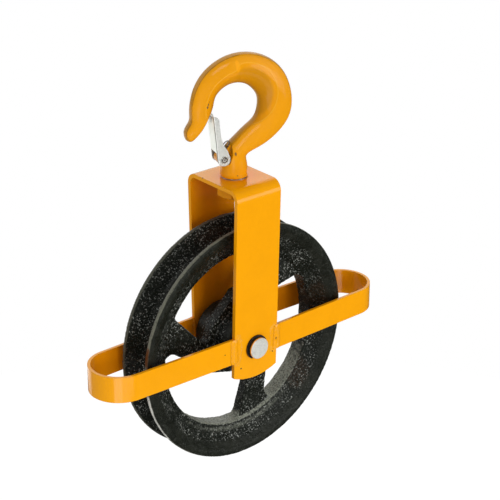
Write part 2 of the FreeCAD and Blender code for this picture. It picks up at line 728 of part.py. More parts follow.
def make_latch():
    """Sheet channel with two tapered cheeks, hung on its rivet and resting inside the tip."""
    body = new_body("hook_latch", hook_side=True)
    place = ("-pivot_left", "pivot_height", "0")
    turn = "latch_lean - 90"
    block = new_sketch(body, "XY_Plane", ("-pivot_left", "0", "pivot_height"), "90 - latch_lean", AXIS_Y)
    half = "latch_width/2"
    outline(block, [("-latch_eye", "-" + half), ("latch_eye + 1", "-" + half),
                    ("latch_eye + 1", half), ("-latch_eye", half)])
    extrude(body, block, "2*latch_length")
    round_edges(body, "latch_sheet*0.9", is_outer_fold)
    cheek = [("-latch_eye", "0"), ("0", "-latch_eye")]
    cheek += cheek_edge()
    cheek += [
        ("-cheek_waist*0.7", "latch_length*0.89"),
        ("-cheek_waist*2.2", "latch_length*0.95"),
        ("-latch_eye", "latch_length"),
        ("-latch_eye - 1", "latch_length"),
        ("-latch_eye - 1", "0"),
    ]
    arcs = {0: ("latch_eye", 1), 1: ("latch_eye", 1)}
    trim = outline(new_sketch(body, "XZ_Plane", place, turn), cheek, arcs)
    reach = "1.5*latch_length"
    outline(trim, [("-" + reach, "-" + reach), (reach, "-" + reach), (reach, reach), ("-" + reach, reach)])
    cut(body, trim)
    inside = [
        ("-latch_eye - 1", "latch_length + 1"),
        ("-latch_eye - 1", "latch_length - web_drop"),
        ("-latch_eye + latch_sheet", "latch_length - web_drop"),
        ("-latch_eye + latch_sheet", "latch_notch"),
        ("-latch_eye - 1", "latch_notch"),
        ("-latch_eye - 1", "-latch_eye - 1"),
        ("latch_eye + 1", "-latch_eye - 1"),
        ("latch_eye + 1", "latch_length + 1"),
    ]
    cut(body, outline(new_sketch(body, "XZ_Plane", place, turn), inside), "latch_width - 2*latch_sheet")
    cut(body, circles(new_sketch(body, "XZ_Plane", place, turn), "rivet_radius + rivet_gap"))
    return body


def is_outer_fold(edge):
    """True for a long edge where the latch's web meets a cheek on the outside."""
    direction = math.radians(size("latch_lean"))
    along = Vector(math.cos(direction), 0, math.sin(direction))
    pivot = Vector(-size("pivot_left"), 0, size("pivot_height"))
    offset = edge.CenterOfMass - pivot
    sideways = offset.x * along.z - offset.z * along.x
    return runs_along(edge, along) and abs(sideways + size("latch_eye")) < 0.05


def make_rivet():
    """Rivet through lug and cheeks, with a flat head each side."""
    body = new_body("latch_rivet", hook_side=True)
    reach = "(latch_width/2 + rivet_gap)"
    upper = [
        ("0", reach + " + rivet_cap"),
        ("rivet_head - rivet_cap/2", reach + " + rivet_cap"),
        ("rivet_head", reach + " + rivet_cap/2"),
        ("rivet_head", reach),
        ("rivet_radius", reach),
    ]
    lower = [(across, "-(%s)" % up) for across, up in reversed(upper)]
    sketch = new_sketch(body, "XY_Plane", shift=("-pivot_left", "0", "pivot_height"))
    revolve(body, outline(sketch, upper + lower), "V_Axis")
    return body


def make_spring():
    """Double spring: a coil on the rivet each side of the lug, joined by a loop up the throat."""
    wire = size("wire_radius")
    coil = size("coil_radius")
    reach = size("loop_reach")
    first = size("lug_thickness/2 + coil_gap") + wire
    pitch = size("coil_pitch")

    def ring(level, start, sweep):
        """Part of a turn about the rivet. The loop leaves the coil at angle 0."""
        turn = Part.makeTorus(coil, wire, Vector(), AXIS_Z, -180, 180, sweep)
        turn.rotate(Vector(), AXIS_Z, start)
        turn.translate(AXIS_Z * level)
        return turn

    def on_coil(level, angle):
        return Vector(coil * math.cos(math.radians(angle)), coil * math.sin(math.radians(angle)), level)

    pieces = []
    for side in (1, -1):
        inner = side * first
        outer = side * (first + pitch)
        step = on_coil(outer, 0) - on_coil(inner, 30)
        pieces += [ring(inner, 30, 330), ring(outer, 180, 180)]
        pieces.append(Part.makeCylinder(wire, step.Length, on_coil(inner, 30), step))
        pieces += [Part.makeSphere(wire, on_coil(level, angle))
                   for level, angle in ((inner, 30), (outer, 0), (outer, 180))]
        pieces.append(Part.makeCylinder(wire, reach - first, on_coil(inner, 0), AXIS_Y))
    bend = Part.makeTorus(first, wire, Vector(), AXIS_Z, -180, 180, 180)
    bend.rotate(Vector(), AXIS_Y, -90)
    bend.translate(Vector(coil, reach - first, 0))
    spring = pieces[0].fuse(pieces[1:] + [bend])
    turned = Rotation(AXIS_X, -90).multiply(Rotation(AXIS_Z, -90 - size("loop_lean")))
    seat = Placement(Vector(-size("pivot_left"), 0, size("pivot_height")), turned)
    feature = doc.addObject("Part::Feature", "latch_spring")
    feature.Label = "latch_spring"
    feature.Shape = spring
    feature.Placement = Placement(Vector(), Rotation(AXIS_Z, -size("hook_yaw"))).multiply(seat)
    return feature


def build():
    """Makes every sub-part."""
    fill_sheet()
    yoke = make_yoke()
    guards = {-1: make_guard("guard_left", -1), 1: make_guard("guard_right", 1)}
    parts = [yoke, guards[-1], guards[1]]
    for face, front in ((-1, "front"), (1, "rear")):
        for side, hand in ((-1, "left"), (1, "right")):
            parts.append(make_weld("weld_%s_%s" % (front, hand), side, face, yoke, guards[side]))
    parts += [make_axle(), make_axle_ring("axle_ring_front", -1), make_axle_ring("axle_ring_rear", 1)]
    parts += [make_washer("thrust_washer_front", -1), make_washer("thrust_washer_rear", 1)]
    parts += [make_sheave(), make_bush()]
    parts += [make_hook(), make_nut(), make_lock_pin(), make_swivel_washer(), make_under_washer()]
    parts += [make_latch(), make_rivet(), make_spring()]
    return parts


def check(parts):
    """Stops if any object failed or any sub-part is not one sound shape."""
    doc.recompute()
    for item in doc.Objects:
        if "Invalid" in item.State or "Error" in item.State:
            raise RuntimeError("%s failed: %s" % (item.Label, item.State))
    for part in parts:
        shape = part.Shape
        if shape.isNull() or not shape.isValid() or not shape.Solids:
            raise RuntimeError(part.Label + " has no sound shape")


def write(parts):
    os.makedirs("parts", exist_ok=True)
    for part in parts:
        part.Shape.exportStep("parts/%s.step" % part.Label)
        print("%-22s %2d solid %10.1f mm3" % (part.Label, len(part.Shape.Solids), part.Shape.Volume))


all_parts = build()
check(all_parts)
write(all_parts)
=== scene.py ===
"""Gin wheel: its paint, casting and plating, in a plain studio.

A rope wheel of black cast iron turns in an orange yoke with two rope guards, under an orange
swivel hook with a plated latch. Metres. The origin is the wheel's centre. X runs along the
guards, -Y is the front and Z points up.
"""

import math

import bpy
from mathutils import Matrix, Vector, noise as lumps_of


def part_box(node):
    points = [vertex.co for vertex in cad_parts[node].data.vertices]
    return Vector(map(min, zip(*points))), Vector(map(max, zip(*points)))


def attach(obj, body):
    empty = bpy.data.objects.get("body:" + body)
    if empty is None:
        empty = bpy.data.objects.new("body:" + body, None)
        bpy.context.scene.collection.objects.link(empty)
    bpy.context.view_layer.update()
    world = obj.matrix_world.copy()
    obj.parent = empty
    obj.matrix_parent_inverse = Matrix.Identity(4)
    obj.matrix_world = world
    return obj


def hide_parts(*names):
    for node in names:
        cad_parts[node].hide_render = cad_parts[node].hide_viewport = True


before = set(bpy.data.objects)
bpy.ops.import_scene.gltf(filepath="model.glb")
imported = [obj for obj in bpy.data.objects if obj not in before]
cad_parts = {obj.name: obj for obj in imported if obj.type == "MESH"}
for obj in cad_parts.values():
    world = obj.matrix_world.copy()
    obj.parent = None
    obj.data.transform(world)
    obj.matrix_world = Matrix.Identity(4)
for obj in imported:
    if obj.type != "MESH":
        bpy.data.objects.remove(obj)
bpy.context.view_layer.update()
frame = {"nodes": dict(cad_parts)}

bl_info = {
    "name": "Gin Wheel Finishes",
    "version": (1, 0, 0),
    "blender": (4, 5, 0),
    "location": "View3D > Sidebar > Gin Wheel",
    "description": "Paint, casting skin and plating for a gin wheel, with its studio",
    "category": "Material",
}

# Places and sizes on the object, in metres
WHEEL_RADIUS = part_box("sheave")[1][2]
AXLE_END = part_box("axle")[1][1]
FLOOR_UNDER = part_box("sheave")[0][2]
WELD_ACROSS = 0.0235
WELD_LEVEL = 0.0024
WELD_HALF_WIDTH = 0.0052
WELD_HALF_HEIGHT = 0.0150
YOKE_FRONT = 0.0300
HOOK_YAW = math.radians(18)
HOOK_SIDEWAYS = Vector((math.sin(HOOK_YAW), math.cos(HOOK_YAW), 0))
HOOK_ALONG = Vector((math.cos(HOOK_YAW), -math.sin(HOOK_YAW), 0))
HOOK_TIPWARD = HOOK_ALONG * -1
OUTER_MIDDLE = HOOK_ALONG * 0.0069 + Vector((0, 0, 0.2434))
SHOULDER_RADIUS = 0.0390
BOWL_MIDDLE = HOOK_ALONG * 0.0077 + Vector((0, 0, 0.2554))
BOWL_RADIUS = 0.0330
SHOULDER_SLOPE = -0.28
BAND_HALF_WIDTH = 0.0040
LATCH_PIVOT = HOOK_ALONG * -0.0134 + Vector((0, 0, 0.1932))
RIVET_RING = 0.0023
BORED_RADIUS = 0.0185
FACED_DEPTH = 0.0250

# Marks on the paint and the casting: centre and reach
HOOK_CHIPS = (
    ((-0.0311, 0.0011, 0.2480), (0.0009, 0.0030, 0.0013)),
    ((-0.0301, 0.0008, 0.2508), (0.0006, 0.0030, 0.0012)),
    ((-0.0290, 0.0004, 0.2532), (0.0004, 0.0030, 0.0006)),
    ((-0.0278, 0.0000, 0.2548), (0.0004, 0.0030, 0.0003)),
    ((-0.0063, -0.0101, 0.1987), (0.0009, 0.0020, 0.0016)),
    ((-0.0055, -0.0119, 0.1768), (0.0006, 0.0010, 0.0006)),
)
# A paint run at the top of the bow, painted lighter as a highlight
HOOK_RUN_AND_HIGHLIGHT = ((-0.0030, -0.0087, 0.2850), (0.0022, 0.0060, 0.0055))
FRAME_SPECKS = (
    ((-0.0390, -0.0330, 0.0029), (0.0007, 0.0010, 0.0006)),
    ((0.0256, -0.0346, 0.0013), (0.0005, 0.0015, 0.0019)),
    ((-0.0185, -0.0329, -0.0189), (0.0010, 0.0010, 0.0008)),
    ((0.0222, -0.0330, -0.0128), (0.0006, 0.0010, 0.0008)),
    ((-0.0269, 0.0148, 0.1721), (0.0007, 0.0007, 0.0010)),
)
LIP_RUST = ((-0.1231, -0.0187, 0.0223), (0.0045, 0.0060, 0.0105))
# Where a painted reflection lies on the front lip
LIP_REFLECTION = ((-0.1140, -0.0187, -0.0500), (0.0260, 0.0060, 0.0330))
RIM_TINTS = (
    ((0.1003, -0.0116, 0.0151), (0.012, 0.012, 0.020)),
    ((0.0757, -0.0094, -0.0642), (0.014, 0.012, 0.018)),
    ((-0.0168, 0.0079, 0.1084), (0.020, 0.012, 0.010)),
)

# Colours that a finish mixes into its main one
HOOK_SIDE_SHADE = (0.52, 0.245, 0.002, 1)
HOOK_BAND_LINE = (0.12, 0.045, 0.003, 1)
HOOK_EDGE = (0.62, 0.22, 0.004, 1)
HOOK_BOWL_SHADE = (0.47, 0.195, 0.003, 1)
HOOK_INNER_SHEEN = (0.66, 0.36, 0.04, 1)
HOOK_RIDGE_HIGHLIGHT = (0.95, 0.50, 0.05, 1)
HOOK_RUN_HIGHLIGHT = (0.97, 0.40, 0.010, 1)
HOOK_BARE = (0.12, 0.08, 0.05, 1)
FRAME_EDGE = (0.60, 0.21, 0.003, 1)
FRAME_CORNER_SHADE = (0.84, 0.215, 0.001, 1)
FRAME_BURN = (0.06, 0.028, 0.008, 1)
WELD_TOE_HIGHLIGHT = (0.90, 0.46, 0.09, 1)
NUT_BARE = (0.18, 0.12, 0.07, 1)
AXLE_SCRATCH = (0.34, 0.34, 0.31, 1)
AXLE_NEAR_RING = (0.012, 0.008, 0.005, 1)
IRON_PATCH = (0.0125, 0.0140, 0.0095, 1)
IRON_GROOVE_SHADE = (0.0040, 0.0055, 0.0028, 1)
IRON_FLECK_GLINT = (0.040, 0.043, 0.036, 1)
IRON_SPARK_GLINT = (0.27, 0.28, 0.255, 1)
IRON_LIP_REFLECTION = (0.62, 0.62, 0.57, 1)
IRON_WINDOW_LIGHT = (0.29, 0.305, 0.25, 1)
ZINC_SCRATCH = (0.46, 0.47, 0.46, 1)
ZINC_EDGE = (0.20, 0.20, 0.19, 1)
ZINC_WEB_LIGHT = (0.96, 1.0, 0.91, 1)
ZINC_CREASE_SHADE = (0.16, 0.16, 0.13, 1)
ZINC_HIGHLIGHT = (0.98, 0.98, 0.95, 1)
ZINC_CORNER_SHADE = (0.05, 0.05, 0.035, 1)
RIVET_HOLLOW_SHADE = (0.05, 0.055, 0.06, 1)
SPRING_WIRE = (0.11, 0.10, 0.08)
BLACK_STEEL = (0.018, 0.017, 0.016)
GREY_STEEL = (0.42, 0.41, 0.39)
BRONZE = (0.55, 0.34, 0.13)

# Lamps: name, place, width and height, the setting of its power, and whether gloss mirrors it
LAMPS = (
    ("key_lamp", (0.1, -2.2, 0.2), (1.4, 1.4), "key", False),
    ("fill_lamp", (-2.1, 0.3, -0.05), (1.0, 1.0), "fill", False),
    ("back_lamp", (1.15, 1.35, 1.5), (0.5, 0.5), "back", False),
    ("low_card", (-0.55, -1.2, -0.68), (1.7, 0.5), "card", True),
)
LAMP_AIM = Vector((0, 0, 0.07))
# What gloss mirrors of the room's lights: direction, cosine of its edge and level
ROOM_LIGHTS = (
    ((-0.615, -0.670, -0.415), 0.980, 2.2),
    ((-0.45, -0.62, 0.643), 0.985, 7.0),
    ((0.328, -0.942, 0.057), 0.975, 5.0),
    ((0.017, 0.886, -0.463), 0.955, 1.4),
    ((0.587, -0.810, -0.030), 0.988, 3.0),
)
FLOOR_RADIUS = 1.0
FLOOR_SIDES = 72

# Camera: azimuth, elevation and roll in degrees, its place as metres to the right, up and back,
# and its focal length in picture widths
CAMERA_TURNS = (-39.98, 24.14, 0.157)
CAMERA_PLACE = (0.01576, 0.08512, 1.7)
CAMERA_FOCAL = 1687 / 500
CAMERA_SENSOR = 36


class GINWHEEL_PG_paint(bpy.types.PropertyGroup):
    """The orange paint on hook, nut, yoke and guards."""
    hook: bpy.props.FloatVectorProperty(
        name="Hook Paint", description="Colour of the paint on the hook and its nut",
        subtype="COLOR", size=3, min=0, max=1, default=(0.845, 0.332, 0.0007))
    frame: bpy.props.FloatVectorProperty(
        name="Frame Paint", description="Colour of the paint on yoke, guards and welds",
        subtype="COLOR", size=3, min=0, max=1, default=(0.945, 0.385, 0.002))
    mottle: bpy.props.FloatProperty(
        name="Mottle", description="How much the paint's colour varies from place to place",
        subtype="FACTOR", min=0, max=1, default=0.35)
    peel: bpy.props.FloatProperty(
        name="Orange Peel", description="Height of the paint's fine waves",
        subtype="DISTANCE", unit="LENGTH", min=0, max=0.001, default=0.00012)


class GINWHEEL_PG_casting(bpy.types.PropertyGroup):
    """The painted cast iron of the wheel."""
    colour: bpy.props.FloatVectorProperty(
        name="Casting Paint", description="Colour of the black paint on the casting",
        subtype="COLOR", size=3, min=0, max=1, default=(0.0070, 0.0085, 0.0052))
    lumps: bpy.props.FloatProperty(
        name="Sand Lumps", description="Height of the lumps that the sand mould leaves",
        subtype="DISTANCE", unit="LENGTH", min=0, max=0.003, default=0.0006)
    grain: bpy.props.FloatProperty(
        name="Sand Grain", description="Height of the fine grain in the painted skin",
        subtype="DISTANCE", unit="LENGTH", min=0, max=0.005, default=0.0009)
    voxel: bpy.props.FloatProperty(
        name="Casting Mesh", description="Size of the mesh squares that carry the lumps",
        subtype="DISTANCE", unit="LENGTH", min=0.0005, max=0.005, default=0.0013)
    worn: bpy.props.FloatVectorProperty(
        name="Worn Lip", description="Colour of the turned outer edges of the two flanges",
        subtype="COLOR", size=3, min=0, max=1, default=(0.17, 0.17, 0.13))
    rust: bpy.props.FloatVectorProperty(
        name="Rust", description="Colour of the rust that shows through thin paint",
        subtype="COLOR", size=3, min=0, max=1, default=(0.10, 0.035, 0.010))


class GINWHEEL_PG_plating(bpy.types.PropertyGroup):
    """The bare and plated steel of latch, rivet, spring, axle and washers."""
    zinc: bpy.props.FloatVectorProperty(
        name="Zinc", description="Colour of the zinc on the latch",
        subtype="COLOR", size=3, min=0, max=1, default=(0.62, 0.63, 0.59))
    steel: bpy.props.FloatVectorProperty(
        name="Bare Steel", description="Colour of turned steel",
        subtype="COLOR", size=3, min=0, max=1, default=(0.70, 0.70, 0.64))
    scratches: bpy.props.FloatProperty(
        name="Scratches", description="How strongly fine scratches show",
        subtype="FACTOR", min=0, max=1, default=0.4)


class GINWHEEL_PG_studio(bpy.types.PropertyGroup):
    """The floor, the lamps and the backdrop."""
    drop: bpy.props.FloatProperty(
        name="Floor Drop", description="Floor below the wheel, which hangs from its hook",
        subtype="DISTANCE", unit="LENGTH", min=0, max=2, default=0.42)
    key: bpy.props.FloatProperty(
        name="Key Lamp", description="Power of the square lamp in front",
        subtype="POWER", unit="POWER", min=0, max=500, default=28.2)
    fill: bpy.props.FloatProperty(
        name="Fill Lamp", description="Power of the lamp on the left",
        subtype="POWER", unit="POWER", min=0, max=500, default=8.5)
    back: bpy.props.FloatProperty(
        name="Back Lamp", description="Power of the lamp above, behind the wheel",
        subtype="POWER", unit="POWER", min=0, max=500, default=12)
    card: bpy.props.FloatProperty(
        name="Low Card", description="Power of the small card that the guard's bend mirrors",
        subtype="POWER", unit="POWER", min=0, max=500, default=3.2)
    room: bpy.props.FloatProperty(
        name="Room Light", description="Level of the light that the room throws back",
        min=0, max=2, default=0.37)


# Nodes

def put(tree, kind, inputs=None, **settings):
    """Adds a shader node, sets its options, and sets or links its inputs."""
    made = tree.nodes.new("ShaderNode" + kind)
    for name, value in settings.items():
        setattr(made, name, value)
    for name, value in (inputs or {}).items():
        if isinstance(value, bpy.types.NodeSocket):
            tree.links.new(value, made.inputs[name])
        else:
            made.inputs[name].default_value = value
    return made


def maths(tree, operation, first, second=0.0, clamp=False):
    """One sum of two numbers or sockets."""
    return put(tree, "Math", {0: first, 1: second}, operation=operation, use_clamp=clamp).outputs[0]


def plus(tree, first, second, clamp=False):
    return maths(tree, "ADD", first, second, clamp)


def minus(tree, first, second):
    return maths(tree, "SUBTRACT", first, second)


def times(tree, first, second):
    return maths(tree, "MULTIPLY", first, second)


def larger(tree, first, second):
    return maths(tree, "MAXIMUM", first, second)


def size_of(tree, value):
    """The value without its sign."""
    return maths(tree, "ABSOLUTE", value)


def vector_maths(tree, operation, first, second):
    """One sum of two vectors that gives a vector."""
    return put(tree, "VectorMath", {0: first, 1: second}, operation=operation).outputs["Vector"]


def between(tree, first, second):
    """The first vector less the second."""
    return vector_maths(tree, "SUBTRACT", first, second)


def scaled(tree, vector, factor):
    made = put(tree, "VectorMath", {0: vector, "Scale": factor}, operation="SCALE")
    return made.outputs["Vector"]


def dot(tree, first, second):
    return put(tree, "VectorMath", {0: first, 1: second}, operation="DOT_PRODUCT").outputs["Value"]


def length_of(tree, vector):
    return put(tree, "VectorMath", {0: vector}, operation="LENGTH").outputs["Value"]


def part_of(tree, vector, axis):
    return put(tree, "SeparateXYZ", {0: vector}).outputs[axis]


def step(tree, value, low, high, bottom=0.0, top=1.0):
    """A smooth step from bottom to top as the value goes from low to high."""
    return put(tree, "MapRange", {"Value": value, "From Min": low, "From Max": high,
                                  "To Min": bottom, "To Max": top},
               interpolation_type="SMOOTHSTEP").outputs["Result"]


def mix_numbers(tree, mask, under, over):
    return put(tree, "Mix", {0: mask, 2: under, 3: over}).outputs[0]


def mix_colours(tree, mask, under, over):
    """The over colour laid on the under one where the mask is 1."""
    return put(tree, "Mix", {0: mask, 6: under, 7: over}, data_type="RGBA").outputs[2]


def tinted(tree, colour, mask, amount, over):
    """The colour with another laid on it where the mask is 1, as strongly as the amount says."""
    return mix_colours(tree, times(tree, mask, amount), colour, over)


def noise(tree, place, scale, detail=3.0, rough=0.5):
    made = put(tree, "TexNoise", {"Vector": place, "Scale": scale, "Detail": detail,
                                  "Roughness": rough})
    return made.outputs["Fac"]


def object_place(tree):
    return put(tree, "TexCoord").outputs["Object"]


def object_normal(tree):
    return put(tree, "TexCoord").outputs["Normal"]


def rgba(colour):
    return (*colour, 1.0)


def new_group(name, takes, gives):
    """Starts a node group. takes are (name, kind, default), gives are (name, kind)."""
    tree = bpy.data.node_groups.new(name, "ShaderNodeTree")
    for label, kind, default in takes:
        socket = tree.interface.new_socket(label, in_out="INPUT", socket_type="NodeSocket" + kind)
        if default is not None:
            socket.default_value = default
    for label, kind in gives:
        tree.interface.new_socket(label, in_out="OUTPUT", socket_type="NodeSocket" + kind)
    return tree, tree.nodes.new("NodeGroupInput").outputs, tree.nodes.new("NodeGroupOutput").inputs


def use(tree, name, inputs):
    """Places a node group in a material."""
    made = tree.nodes.new("ShaderNodeGroup")
    made.node_tree = bpy.data.node_groups[name]
    for label, value in inputs.items():
        if isinstance(value, bpy.types.NodeSocket):
            tree.links.new(value, made.inputs[label])
        else:
            made.inputs[label].default_value = value
    return made.outputs


# Effects that several finishes share

def make_soft_edges():
    """Rounds hard edges for the light and marks them, with breaks in the mark."""
    tree, takes, gives = new_group(
        "Soft Edges",
        (("Place", "Vector", None), ("Radius", "Float", 0.0006), ("Break Scale", "Float", 220.0)),
        (("Mask", "Float"), ("Normal", "Vector")))
    rounded = put(tree, "Bevel", {"Radius": takes["Radius"]}, samples=6).outputs["Normal"]
    flat = put(tree, "NewGeometry").outputs["Normal"]
    bend = minus(tree, 1.0, dot(tree, rounded, flat))
    breaks = step(tree, noise(tree, takes["Place"], takes["Break Scale"]), 0.35, 0.62)
    tree.links.new(times(tree, step(tree, bend, 0.01, 0.16), breaks), gives["Mask"])
    tree.links.new(rounded, gives["Normal"])


def make_paint_film():
    """Brushed and dipped paint: broad mottling, fine waves and small changes of gloss."""
    tree, takes, gives = new_group(
        "Paint Film",
        (("Place", "Vector", None), ("Colour", "Color", (0.9, 0.36, 0.003, 1)),
         ("Mottle", "Float", 0.35), ("Gloss", "Float", 0.25)),
        (("Colour", "Color"), ("Roughness", "Float"), ("Height", "Float")))
    place = takes["Place"]
    broad = noise(tree, place, 38.0, 2.0)
    patchy = noise(tree, place, 210.0, 4.0, 0.6)
    both = plus(tree, times(tree, broad, 0.6), times(tree, patchy, 0.4))
    shade = times(tree, step(tree, both, 0.35, 0.65), takes["Mottle"])
    deep = put(tree, "HueSaturation", {"Hue": 0.493, "Saturation": 1.03, "Value": 0.80,
                                       "Color": takes["Colour"]}).outputs["Color"]
    tree.links.new(mix_colours(tree, shade, takes["Colour"], deep), gives["Colour"])
    matt = times(tree, minus(tree, patchy, 0.5), 0.12)
    tree.links.new(plus(tree, takes["Gloss"], matt, clamp=True), gives["Roughness"])
    waves = noise(tree, place, 420.0, 2.0)
    grit = noise(tree, place, 1500.0, 2.0)
    tree.links.new(plus(tree, times(tree, waves, 0.8), times(tree, grit, 0.2)), gives["Height"])


def make_mark():
    """A ragged mark at one place, such as a chip, a speck or a rust patch."""
    tree, takes, gives = new_group(
        "Mark",
        (("Place", "Vector", None), ("Centre", "Vector", None), ("Reach", "Vector", None),
         ("Ragged", "Float", 0.8), ("Grain", "Float", 900.0)),
        (("Mask", "Float"),))
    offset = between(tree, takes["Place"], takes["Centre"])
    away = length_of(tree, vector_maths(tree, "DIVIDE", offset, takes["Reach"]))
    tooth = times(tree, noise(tree, takes["Place"], takes["Grain"], 4.0, 0.7), takes["Ragged"])
    edge = plus(tree, away, times(tree, tooth, 1.6))
    reach = plus(tree, 1.0, times(tree, takes["Ragged"], 0.8))
    tree.links.new(step(tree, minus(tree, reach, edge), -0.08, 0.12), gives["Mask"])


def make_scratches():
    """Fine crossing scratches on bare metal."""
    tree, takes, gives = new_group(
        "Fine Scratches",
        (("Place", "Vector", None), ("Scale", "Float", 160.0), ("Amount", "Float", 0.4)),
        (("Mask", "Float"), ("Height", "Float")))
    lines = None
    for turn, stretch in ((0.5, 14.0), (1.9, 11.0), (2.7, 17.0)):
        turned = put(tree, "VectorRotate", {"Vector": takes["Place"], "Axis": (0.2, 1.0, 0.1),
                                            "Angle": turn}).outputs["Vector"]
        drawn = vector_maths(tree, "MULTIPLY", turned, (1.0, 1.0, stretch))
        thin = step(tree, noise(tree, drawn, takes["Scale"], 2.0), 0.60, 0.72)
        lines = thin if lines is None else larger(tree, lines, thin)
    tree.links.new(times(tree, lines, takes["Amount"]), gives["Mask"])
    tree.links.new(minus(tree, 1.0, lines), gives["Height"])


def make_bare_metal():
    """Cloudy colour and gloss of bare or plated metal."""
    tree, takes, gives = new_group(
        "Metal Clouds",
        (("Place", "Vector", None), ("Colour", "Color", (0.6, 0.6, 0.55, 1)),
         ("Scale", "Float", 260.0), ("Depth", "Float", 0.3), ("Gloss", "Float", 0.35)),
        (("Colour", "Color"), ("Roughness", "Float"), ("Height", "Float")))
    clouds = noise(tree, takes["Place"], takes["Scale"], 5.0, 0.65)
    dark = put(tree, "HueSaturation", {"Saturation": 0.9, "Value": 0.62, "Color": takes["Colour"]}
               ).outputs["Color"]
    mask = times(tree, step(tree, clouds, 0.42, 0.68), takes["Depth"])
    tree.links.new(mix_colours(tree, mask, takes["Colour"], dark), gives["Colour"])
    tree.links.new(plus(tree, takes["Gloss"], times(tree, mask, 0.4)), gives["Roughness"])
    tree.links.new(clouds, gives["Height"])


# Materials

def new_material(name, **sockets):
    """A material with a Principled shader, whose plain values are set on its own sockets."""
    material = bpy.data.materials.new(name)
    material.use_nodes = True
    tree = material.node_tree
    tree.nodes.clear()
    shader = put(tree, "BsdfPrincipled")
    for label, value in sockets.items():
        shader.inputs[label.replace("_", " ")].default_value = value
    put(tree, "OutputMaterial", {"Surface": shader.outputs[0]})
    return material, tree, shader.inputs


def bump(tree, height, distance, normal=None):
    values = {"Height": height, "Distance": distance, "Strength": 1.0}
    if normal is not None:
        values["Normal"] = normal
    return put(tree, "Bump", values).outputs["Normal"]


def pitted(tree, mask, depth, normal):
    """The normal of a surface that is sunk where the mask is 1."""
    return bump(tree, minus(tree, 1.0, mask), depth, normal)


def feed(tree, shader, **sockets):
    """Links the shader's sockets to what changes over the surface."""
    for label, socket in sockets.items():
        tree.links.new(socket, shader[label.replace("_", " ")])


def painted_shade_mask(tree, reach):
    """A mask for painted shade: 1 in corners and between faces that shade each other, 0 in the
    open.
    """
    open_sky = put(tree, "AmbientOcclusion", {"Distance": reach}, samples=8).outputs["AO"]
    return step(tree, open_sky, 0.25, 0.85, 1.0, 0.0)


def marks_on(tree, place, marks, ragged=0.8, grain=900.0):
    """One mask for several marks."""
    mask = None
    for centre, reach in marks:
        one = use(tree, "Mark", {"Place": place, "Centre": centre, "Reach": reach,
                                 "Ragged": ragged, "Grain": grain})["Mask"]
        mask = one if mask is None else larger(tree, mask, one)
    return mask


def turn_to_world(tree, way):
    return put(tree, "VectorTransform", {"Vector": way}, vector_type="NORMAL",
               convert_from="OBJECT", convert_to="WORLD").outputs["Vector"]


def mixed_normal(tree, mask, normal, other):
    mixed = put(tree, "Mix", {0: mask, 4: normal, 5: other}, data_type="VECTOR").outputs[1]
    return put(tree, "VectorMath", {0: mixed}, operation="NORMALIZE").outputs["Vector"]


def above_neck(tree, place):
    """1 on the hook's bow, 0 on its neck and collar."""
    return step(tree, part_of(tree, place, "Z"), 0.196, 0.206)


def bowl_side(tree, place):
    """Where the painted shade inside the bow goes: 1 at the back of the bow, less towards the
    hook's tip and 0 at its neck.
    """
    along = dot(tree, place, tuple(HOOK_ALONG))
    high = step(tree, part_of(tree, place, "Z"), 0.220, 0.236)
    return times(tree, step(tree, along, -0.010, 0.020, 0.45, 1.0), high)


def inside_shoulder(tree, place, in_plane, reach, tipward):
    """How far a place is inside the line where the hook's flat face ends, in metres.

    The line is one circle at the back of the bow and another, larger one towards the tip.
    """
    from_bowl = length_of(tree, between(tree, in_plane, tuple(BOWL_MIDDLE)))
    low = step(tree, part_of(tree, place, "Z"), 0.240, 0.228)
    behind = larger(tree, step(tree, tipward, 0.0100, 0.0020), low)
    return mix_numbers(tree, behind, minus(tree, SHOULDER_RADIUS, reach),
                       minus(tree, BOWL_RADIUS, from_bowl))


def forged_faces(tree, place, normal):
    """The hook's flat faces, its trimmed outer band and the shoulder inside its bow, as shading.

    Gives the normal, the mask of the band's two edges, and a height in metres that is 0 on the
    flat face and falls inside the shoulder.
    """
    side = tuple(HOOK_SIDEWAYS)
    sideways = dot(tree, place, side)
    in_plane = between(tree, place, scaled(tree, side, sideways))
    outward = between(tree, in_plane, tuple(OUTER_MIDDLE))
    reach = length_of(tree, outward)
    tipward = dot(tree, outward, tuple(HOOK_TIPWARD))
    above = above_neck(tree, place)

    wander = times(tree, minus(tree, noise(tree, place, 60.0), 0.5), 0.0012)
    from_middle = size_of(tree, plus(tree, sideways, wander))
    outside = times(tree, step(tree, reach, 0.0400, 0.0440), above)
    band = times(tree, step(tree, from_middle, 0.0036, 0.0042, 1.0, 0.0), outside)
    normal = mixed_normal(tree, times(tree, band, 0.8), normal, turn_to_world(tree, outward))
    edge = size_of(tree, minus(tree, from_middle, BAND_HALF_WIDTH))
    line = times(tree, step(tree, edge, 0.0001, 0.0006, 1.0, 0.0), outside)

    facing = dot(tree, object_normal(tree), side)
    lean = times(tree, step(tree, tipward, 0.006, 0.020, 0.0, 0.42),
                 step(tree, part_of(tree, place, "Z"), 0.232, 0.240))
    flat = vector_maths(tree, "ADD", scaled(tree, side, maths(tree, "SIGN", facing)),
                        scaled(tree, tuple(HOOK_TIPWARD), lean))
    inside = inside_shoulder(tree, place, in_plane, reach, tipward)
    level = times(tree, step(tree, inside, 0.0002, -0.0005), above)
    level = times(tree, level, step(tree, size_of(tree, facing), 0.50, 0.62))
    normal = mixed_normal(tree, times(tree, level, 0.7), normal, turn_to_world(tree, flat))
    height = times(tree, times(tree, larger(tree, inside, 0.0), SHOULDER_SLOPE), above)
    return normal, line, height


